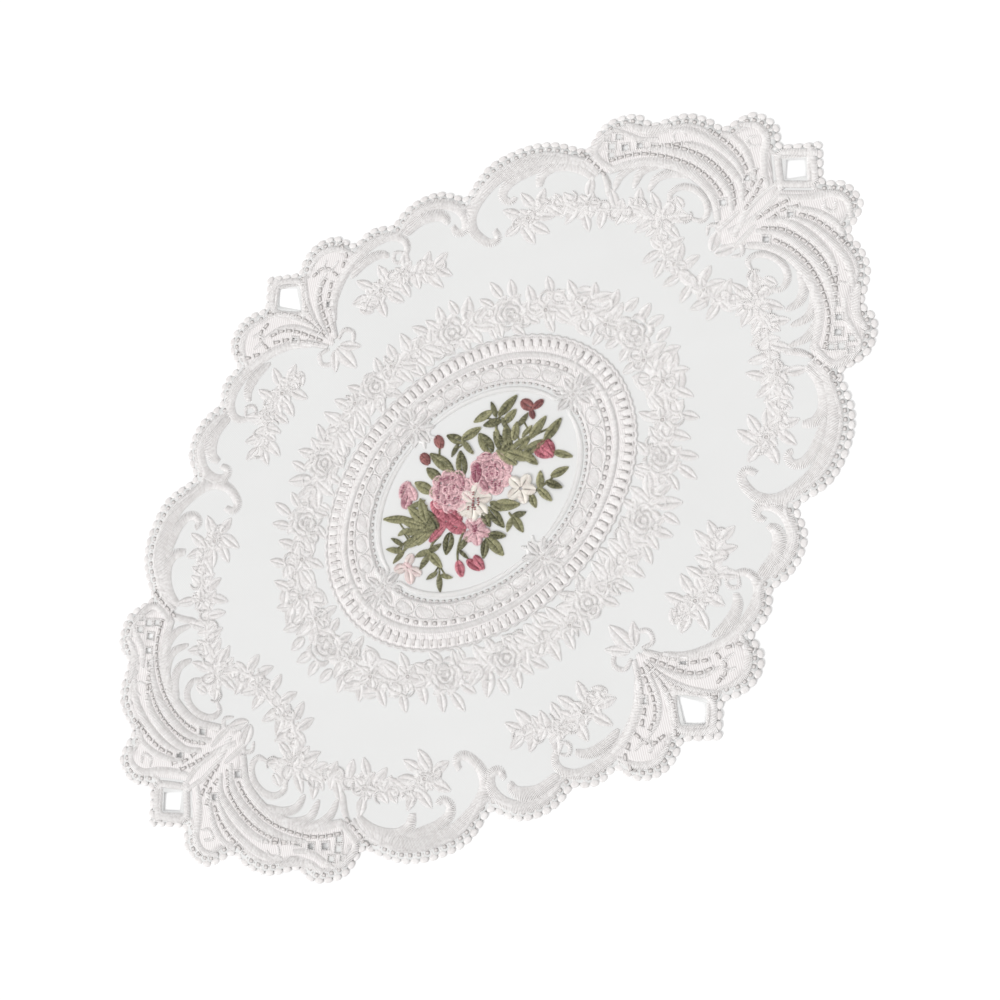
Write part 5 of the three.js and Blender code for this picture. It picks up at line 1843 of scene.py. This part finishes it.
@dataclass
class Bouquet:
    """The coloured bouquet in the medallion, the one part of the mat that isn't mirrored."""

    # Frills are given as radius, width, scallops and shade, petals as x, y, length, width, turn
    # and shade, and knots as x and y.
    BLOOMS: ClassVar[tuple[Bloom, ...]] = (
        Bloom("rose_left", Thread.PINK, (-8.8, 9.2),
            frills=((8.2, 4.2, 9, 0.86), (5.2, 3.6, 6, 0.62), (2.7, 3.0, 4, 0.74), (0.8, 1.8, 3, 0.55)),
            petals=((-2, 9.4, 6, 3.4, 70, 0.4), (-12.6, 14.4, 5, 1.8, 40, 0.45),
              (-7, 16, 5, 2, -30, 0.5)),
            knots=((-15.4, 11.6), (-14, 14), (-10.6, 15.8), (-5.8, 15.2), (-4, 13.2), (-14.4, 7.4),
              (-8.4, 4.4), (-4.8, 6.2), (-10.4, 11.6), (-6.4, 9.6), (-11.6, 7.8))),
        Bloom("rose_right", Thread.PINK, (10.4, 1.4),
            frills=((8.2, 4.2, 8, 0.88), (5.2, 3.6, 6, 0.66), (2.6, 3.0, 4, 0.62), (0.8, 1.8, 3, 0.45)),
            petals=((5.8, 6.6, 9.4, 5.2, 45, 0.12), (4.2, -0.2, 5.4, 3.4, 85, 0.34),
              (13.4, 8.8, 7.4, 3, -45, 0.8)),
            knots=((8, -4), (6.6, -5.6), (9.6, -5.4), (12.2, -1), (13.8, 9.8), (15.8, 8), (7.6, -2.2),
              (14.4, 2.6), (11.6, 3.6), (8.6, 2))),
        Bloom("flower_pale", Thread.CREAM,
            petals=((-10.2, -1.8, 7.8, 6.4, 165, 0.96), (-9.2, -6, 7.2, 6, 220, 1.0),
              (-4.4, -7.4, 7.2, 6, 268, 1.0), (0.2, -4.4, 7, 5.8, 322, 0.97),
              (0.4, 0.8, 7.4, 5.8, 25, 0.96), (-4.8, 1.4, 6.8, 5.6, 95, 0.94)),
            knots=((-8.6, -2.6), (-6.6, -3.6), (-4, -1.4), (-2.4, -3), (-3.6, -4.6), (-6.4, -5),
              (-5.2, -2.6), (-2, 0.6))),
        Bloom("petals_deep", Thread.DEEP_ROSE,
            petals=((-19.6, 7, 11.6, 5.4, 82, 0.58), (-20.6, 1.6, 10.6, 7.0, 108, 0.46),
              (-26.8, -0.4, 12, 3.8, 182, 0.62), (-18.8, -4.6, 10, 6.8, -62, 0.5),
              (-15.6, -0.6, 8, 5.4, -82, 0.4))),
        Bloom("flower_small_pink", Thread.PINK,
            petals=((-17, -12.4, 6.6, 5.6, 178, 0.86), (-15.6, -15.8, 6.4, 5.4, 240, 0.82),
              (-11.2, -16, 6.4, 5.2, 300, 0.84), (-9.6, -12, 6.4, 5.4, 2, 0.8),
              (-12.8, -8.8, 5.6, 5.2, 85, 0.74), (-13.2, -12.2, 4.8, 2.6, 80, 0.1)),
            knots=((-14.4, -13), (-12, -11.4))),
        Bloom("flower_cream", Thread.CREAM, (15.4, -14),
            frills=((1.3, 1.0, 3, 0.2),),
            petals=((11.4, -13.4, 6.2, 5.6, 175, 1.0), (13.4, -17.6, 6.2, 5.4, 245, 0.98),
              (17.8, -17.2, 6.2, 5.4, 310, 1.0), (19.4, -13, 6.2, 5.4, 15, 1.0),
              (15.4, -10, 6.2, 5.6, 90, 1.0))),
        Bloom("bud_pink_top", Thread.PINK,
            petals=((-24.2, 26, 8.8, 6.2, 20, 0.7), (-27.2, 21.6, 7.6, 5.8, -150, 0.52),
              (-22.6, 22.4, 8, 4.6, -110, 0.86), (-25.6, 24.4, 6, 1.4, 10, 0.25)),
            knots=((-26, 26.6), (-23.6, 27.6))),
        Bloom("bud_brown_left", Thread.RUSSET,
            petals=((-7, 29.6, 6.2, 5.2, 80, 0.4), (-7.8, 29.2, 4.6, 2.2, 95, 0.7))),
        Bloom("bud_brown_right", Thread.RUSSET,
            petals=((3.4, 30.6, 6.6, 5, 70, 0.45), (2.6, 30.2, 4.6, 2.2, 60, 0.75))),
        Bloom("bud_rust_right", Thread.RUSSET,
            petals=((45, 12.4, 6.8, 5.6, 100, 0.5), (48.6, 8.8, 6.4, 3.4, -5, 0.45),
              (43.6, 7.6, 5, 2.8, -120, 0.35))),
        Bloom("bud_red_right", Thread.DEEP_ROSE,
            petals=((33.6, -9.2, 7.8, 4.4, 110, 0.36), (38.6, -9.6, 7.8, 4.4, 70, 0.36),
              (36, -10.2, 7.8, 4.4, 92, 0.6), (36, -6.4, 6.4, 3.8, 0, 0.26),
              (36.2, -9.8, 4.8, 1.2, -45, 1.0))),
        Bloom("bud_red_low", Thread.DEEP_ROSE,
            petals=((-25.2, -23.4, 8, 4.4, 100, 0.34), (-22.6, -24.4, 7.8, 4.2, 80, 0.55),
              (-23.8, -24.6, 4.8, 1.4, 90, 1.0))),
        Bloom("bud_red_left", Thread.DEEP_ROSE,
            petals=((-31, -20, 7.8, 4.6, 60, 0.66), (-31.6, -20.4, 5, 1.6, 60, 0.3))),
        Bloom("flower_faint_pink", Thread.PALE_PINK,
            petals=((-48.4, -1.8, 5.6, 4.2, 90, 0.35), (-51.4, 0.4, 6, 5, 150, 0.85),
              (-50.6, -5.4, 7.6, 5, 240, 0.85), (-45.4, 0.2, 6, 4.6, 20, 0.9),
              (-47, -6, 6, 4.6, 290, 0.9))),
    )
    # The stem's line, then x, y, length, width and turn of each leaf
    SPRIGS: ClassVar[tuple[Sprig, ...]] = (
        Sprig("sprig_top_left", ((-22, 13), (-28, 9), (-35, 7), (-43, 8)),
            ((-36.6, 18.6, 14, 4, 133), (-32.6, 12, 12, 5, 118), (-28.4, 13.6, 11, 4.8, 92),
              (-24.6, 12.4, 12, 4.8, 62), (-33.4, 8, 12, 5.4, 150), (-28.6, 7, 12, 6, 100),
              (-24.4, 5.8, 11, 5, 78), (-36.6, 4.6, 12, 4.8, 172), (-32, 3.4, 12, 5, 190),
              (-43.8, 10.8, 7, 2.6, 108), (-38.6, 12, 6, 2.8, 170), (-47.4, 8.6, 8.6, 3.2, 128),
              (-48.2, 5, 8, 3, 185), (-41.4, 6.2, 7, 3, 200), (-24.8, 16.8, 9, 2.8, -20))),
        Sprig("sprig_low_left", ((-27, -2), (-33, -2.4), (-36.4, -6), (-37, -12)),
            ((-36.6, -8.6, 10, 4.4, 268), (-40.6, -5.6, 9, 3.4, 195), (-33.4, -4.4, 8, 3.4, -12),
              (-42.8, -13, 6, 2.6, 170), (-42.6, -18, 8.6, 3.4, 232), (-38.2, -18, 6, 2.6, -55),
              (-38.8, -2.2, 8, 3.4, 160))),
        Sprig("sprig_low_middle", ((-17, -8.4), (-22, -10.6), (-26.4, -13.6), (-29.6, -17)),
            ((-27, -7.6, 10.6, 5.6, 215), (-21.8, -12.8, 7.6, 3.4, 195), (-25.2, -16.4, 6.6, 2, -85))),
        Sprig("leaves_low_left", ((-12.4, -18), (-12.4, -26)),
            ((-12, -24.8, 11, 5.6, 268), (-16.4, -21.8, 8.8, 4, 218), (-7.8, -21.4, 8.4, 3.8, -50))),
        Sprig("leaves_low_middle", ((3.4, -18), (2.6, -25)),
            ((2.8, -24.8, 9, 4.4, 258), (-0.2, -22, 7, 3.2, 208), (6.2, -21.8, 7, 3.4, -28))),
        Sprig("leaves_under_blooms", ((-3, -10), (2, -11), (6, -13)),
            ((-2.4, -15, 12.6, 5.4, -95), (5.2, -14.4, 13, 5.8, -44), (-6.4, -12.6, 7.4, 4, -105),
              (1.4, -11.6, 7, 3.8, -80))),
        Sprig("sprig_low_right", ((16.6, -19.4), (22, -20), (28, -21), (32, -20)),
            ((15.4, -21.8, 7.6, 3.8, 248), (24.4, -17.6, 8.6, 3.8, 45), (21.2, -24, 8.8, 3.8, -88),
              (27.4, -23.8, 8.2, 3.8, -66), (33.4, -21.4, 9.2, 4, -18))),
        Sprig("sprig_right", ((20, 6), (28, 3), (36, 0), (44, -3)),
            ((23.6, 9, 12, 5.6, 75), (28.4, 9, 11, 4.8, 52), (20.8, 1.6, 12, 5.4, 100),
              (25.6, -2.4, 12, 5.4, -62), (29.4, 1, 13, 5.6, -5), (33.6, -4.4, 12, 5, -14),
              (28.2, -7, 9, 4.2, -84), (32.4, 7.4, 9, 4, 35), (36.2, 3.4, 7, 3, 6), (41, 1, 13, 4.2, 9),
              (45.2, -4.8, 13, 4.6, 8), (38.6, 8.6, 8, 3, 10), (24, 5, 12, 5.2, 20))),
        Sprig("leaf_right_low", ((37.8, -12), (41, -18)), ((40.2, -16.6, 9.6, 3.6, -60),)),
        Sprig("sprig_top_right", ((22.6, 10), (27.6, 15.6), (31, 17.6), (36, 18.6)),
            ((26.4, 23.8, 10, 4.2, 165), (32.4, 22.4, 8, 3, 65), (38.4, 18.9, 13, 4.4, 3),
              (27.4, 18.2, 8.6, 4, 150), (35.6, 14.4, 8.6, 4.2, 4), (25.6, 13, 6, 2.6, 62),
              (31.4, 14, 6, 2.8, 70))),
        Sprig("leaves_top_right", ((11.4, 15), (11.4, 21), (12.6, 23)),
            ((9.8, 26, 9, 4.8, 112), (17, 22, 10.6, 4.6, -14), (6, 22, 7, 2.6, 200),
              (11.2, 18.6, 9, 3.2, -94))),
        Sprig("leaf_top_wide_right", ((18.6, 10), (18.6, 14)), ((18.6, 13.8, 11.4, 7, 80),)),
        Sprig("leaves_top_middle", ((0, 10), (-1.6, 17), (-2, 24), (1.6, 28.4)),
            ((3.8, 15.2, 12.4, 6, 52), (-2.6, 22.6, 14.6, 6.2, 98))),
        Sprig("leaf_top_middle_left", ((-9.4, 17), (-9.4, 22)), ((-9.2, 21.4, 9, 5.4, 95),)),
        Sprig("leaf_top_left", ((-16.4, 14.6), (-17, 20)), ((-17, 20.4, 10, 5.8, 106),)),
    )

    def build(self) -> list[bpy.types.Object]:
        """Stitches every bloom and sprig, attaches each to the root body and hides the solid that it
        stands for.

        Returns:
            The finished pieces.
        """
        pieces = []
        for part in (*self.BLOOMS, *self.SPRIGS):
            piece = part.sew()
            hand_over(piece, part.thread.slot, part.node)
            pieces.append(piece)
        return pieces


# The studio


@dataclass
class Studio:
    """A white floor, a low soft key light from the mat's left end, and the photograph's camera."""

    floor_size: float = 24.0
    key_strength: float = 1.42
    key_elevation: float = 40.0
    key_azimuth: float = 172.0
    key_angle: float = 16.0
    fill_strength: float = 0.83
    aim: Point = (4.606, -10.397)
    distance: float = 555.99
    azimuth: float = -78.147
    elevation: float = 74.435
    roll: float = -56.806
    lens: float = 43.04

    def _direction(self, azimuth: float, elevation: float) -> Vector:
        """Gives the unit vector towards a place in the sky.

        Args:
            azimuth: Degrees from +X towards +Y.
            elevation: Degrees above the floor.

        Returns:
            The vector.
        """
        around, up = math.radians(azimuth), math.radians(elevation)
        flat = math.cos(up)
        return Vector((flat * math.cos(around), flat * math.sin(around), math.sin(up)))

    def _floor(self) -> None:
        """Builds the floor."""
        half = self.floor_size / 2 / MM
        corners = np.array([(-half, -half, 0), (half, -half, 0), (half, half, 0), (-half, half, 0)])
        floor = new_object("floor", new_mesh("floor", corners, [(0, 1, 2, 3)]))
        white = bpy.data.materials.new("matt white paper")
        white.use_nodes = True
        paper = white.node_tree.nodes["Principled BSDF"]
        paper.inputs["Base Color"].default_value = linear("#fbfbfb")
        paper.inputs["Roughness"].default_value = 0.95
        floor.data.materials.append(white)

    def _lights(self) -> None:
        """Adds the key light and the even light of the white surroundings."""
        key = bpy.data.lights.new("key", "SUN")
        key.energy = self.key_strength
        key.angle = math.radians(self.key_angle)
        lamp = bpy.data.objects.new("key", key)
        towards = self._direction(self.key_azimuth, self.key_elevation)
        lamp.rotation_euler = towards.to_track_quat("Z", "Y").to_euler()
        bpy.context.scene.collection.objects.link(lamp)
        surroundings = bpy.data.worlds.new("white studio")
        surroundings.use_nodes = True
        glow = surroundings.node_tree.nodes["Background"]
        glow.inputs["Color"].default_value = (1.0, 1.0, 1.0, 1.0)
        glow.inputs["Strength"].default_value = self.fill_strength
        bpy.context.scene.world = surroundings

    def _camera(self) -> None:
        """Adds the camera where the photograph was taken from."""
        back = self._direction(self.azimuth, self.elevation)
        level = (-back).cross(Vector((0.0, 0.0, 1.0))).normalized()
        upright = level.cross(-back)
        roll = math.radians(self.roll)
        right = level * math.cos(roll) + upright * math.sin(roll)
        up = upright * math.cos(roll) - level * math.sin(roll)
        aim = Vector((*self.aim, 0.0))
        data = bpy.data.cameras.new("camera")
        data.lens = self.lens
        data.sensor_width = 36.0
        data.clip_start = 0.01
        camera = bpy.data.objects.new("camera", data)
        turned = Matrix((right, up, back)).transposed().to_4x4()
        camera.matrix_world = Matrix.Translation((aim + back * self.distance) * MM) @ turned
        bpy.context.scene.collection.objects.link(camera)
        bpy.context.scene.camera = camera

    def build(self) -> None:
        """Builds the floor, the lights and the camera."""
        self._floor()
        self._lights()
        self._camera()
        bpy.context.scene.view_settings.view_transform = "Standard"


def main() -> None:
    """Builds the mat, piece by piece, and the studio round it."""
    logging.basicConfig(level=logging.INFO, format="%(name)s: %(message)s")
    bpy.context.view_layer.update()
    Studio().build()
    edge = ScallopedEdge()
    openings = Openings()
    voile = GroundCloth(edge, openings).build()
    hand_over(voile, "white_lace", "lace_cloth")
    lace = [
        *edge.build(),
        *openings.build(),
        *Fans(edge, openings).build(),
        *NeedleRows().build(),
        *Scrolls().build(),
        *Medallion().build(),
        *WhiteFlowers().build(),
    ]
    for piece in lace:
        hand_over(piece, "white_lace", "lace_cloth")
    bouquet = Bouquet().build()
    edge.area_m2()


if __name__ == "__main__":
    main()
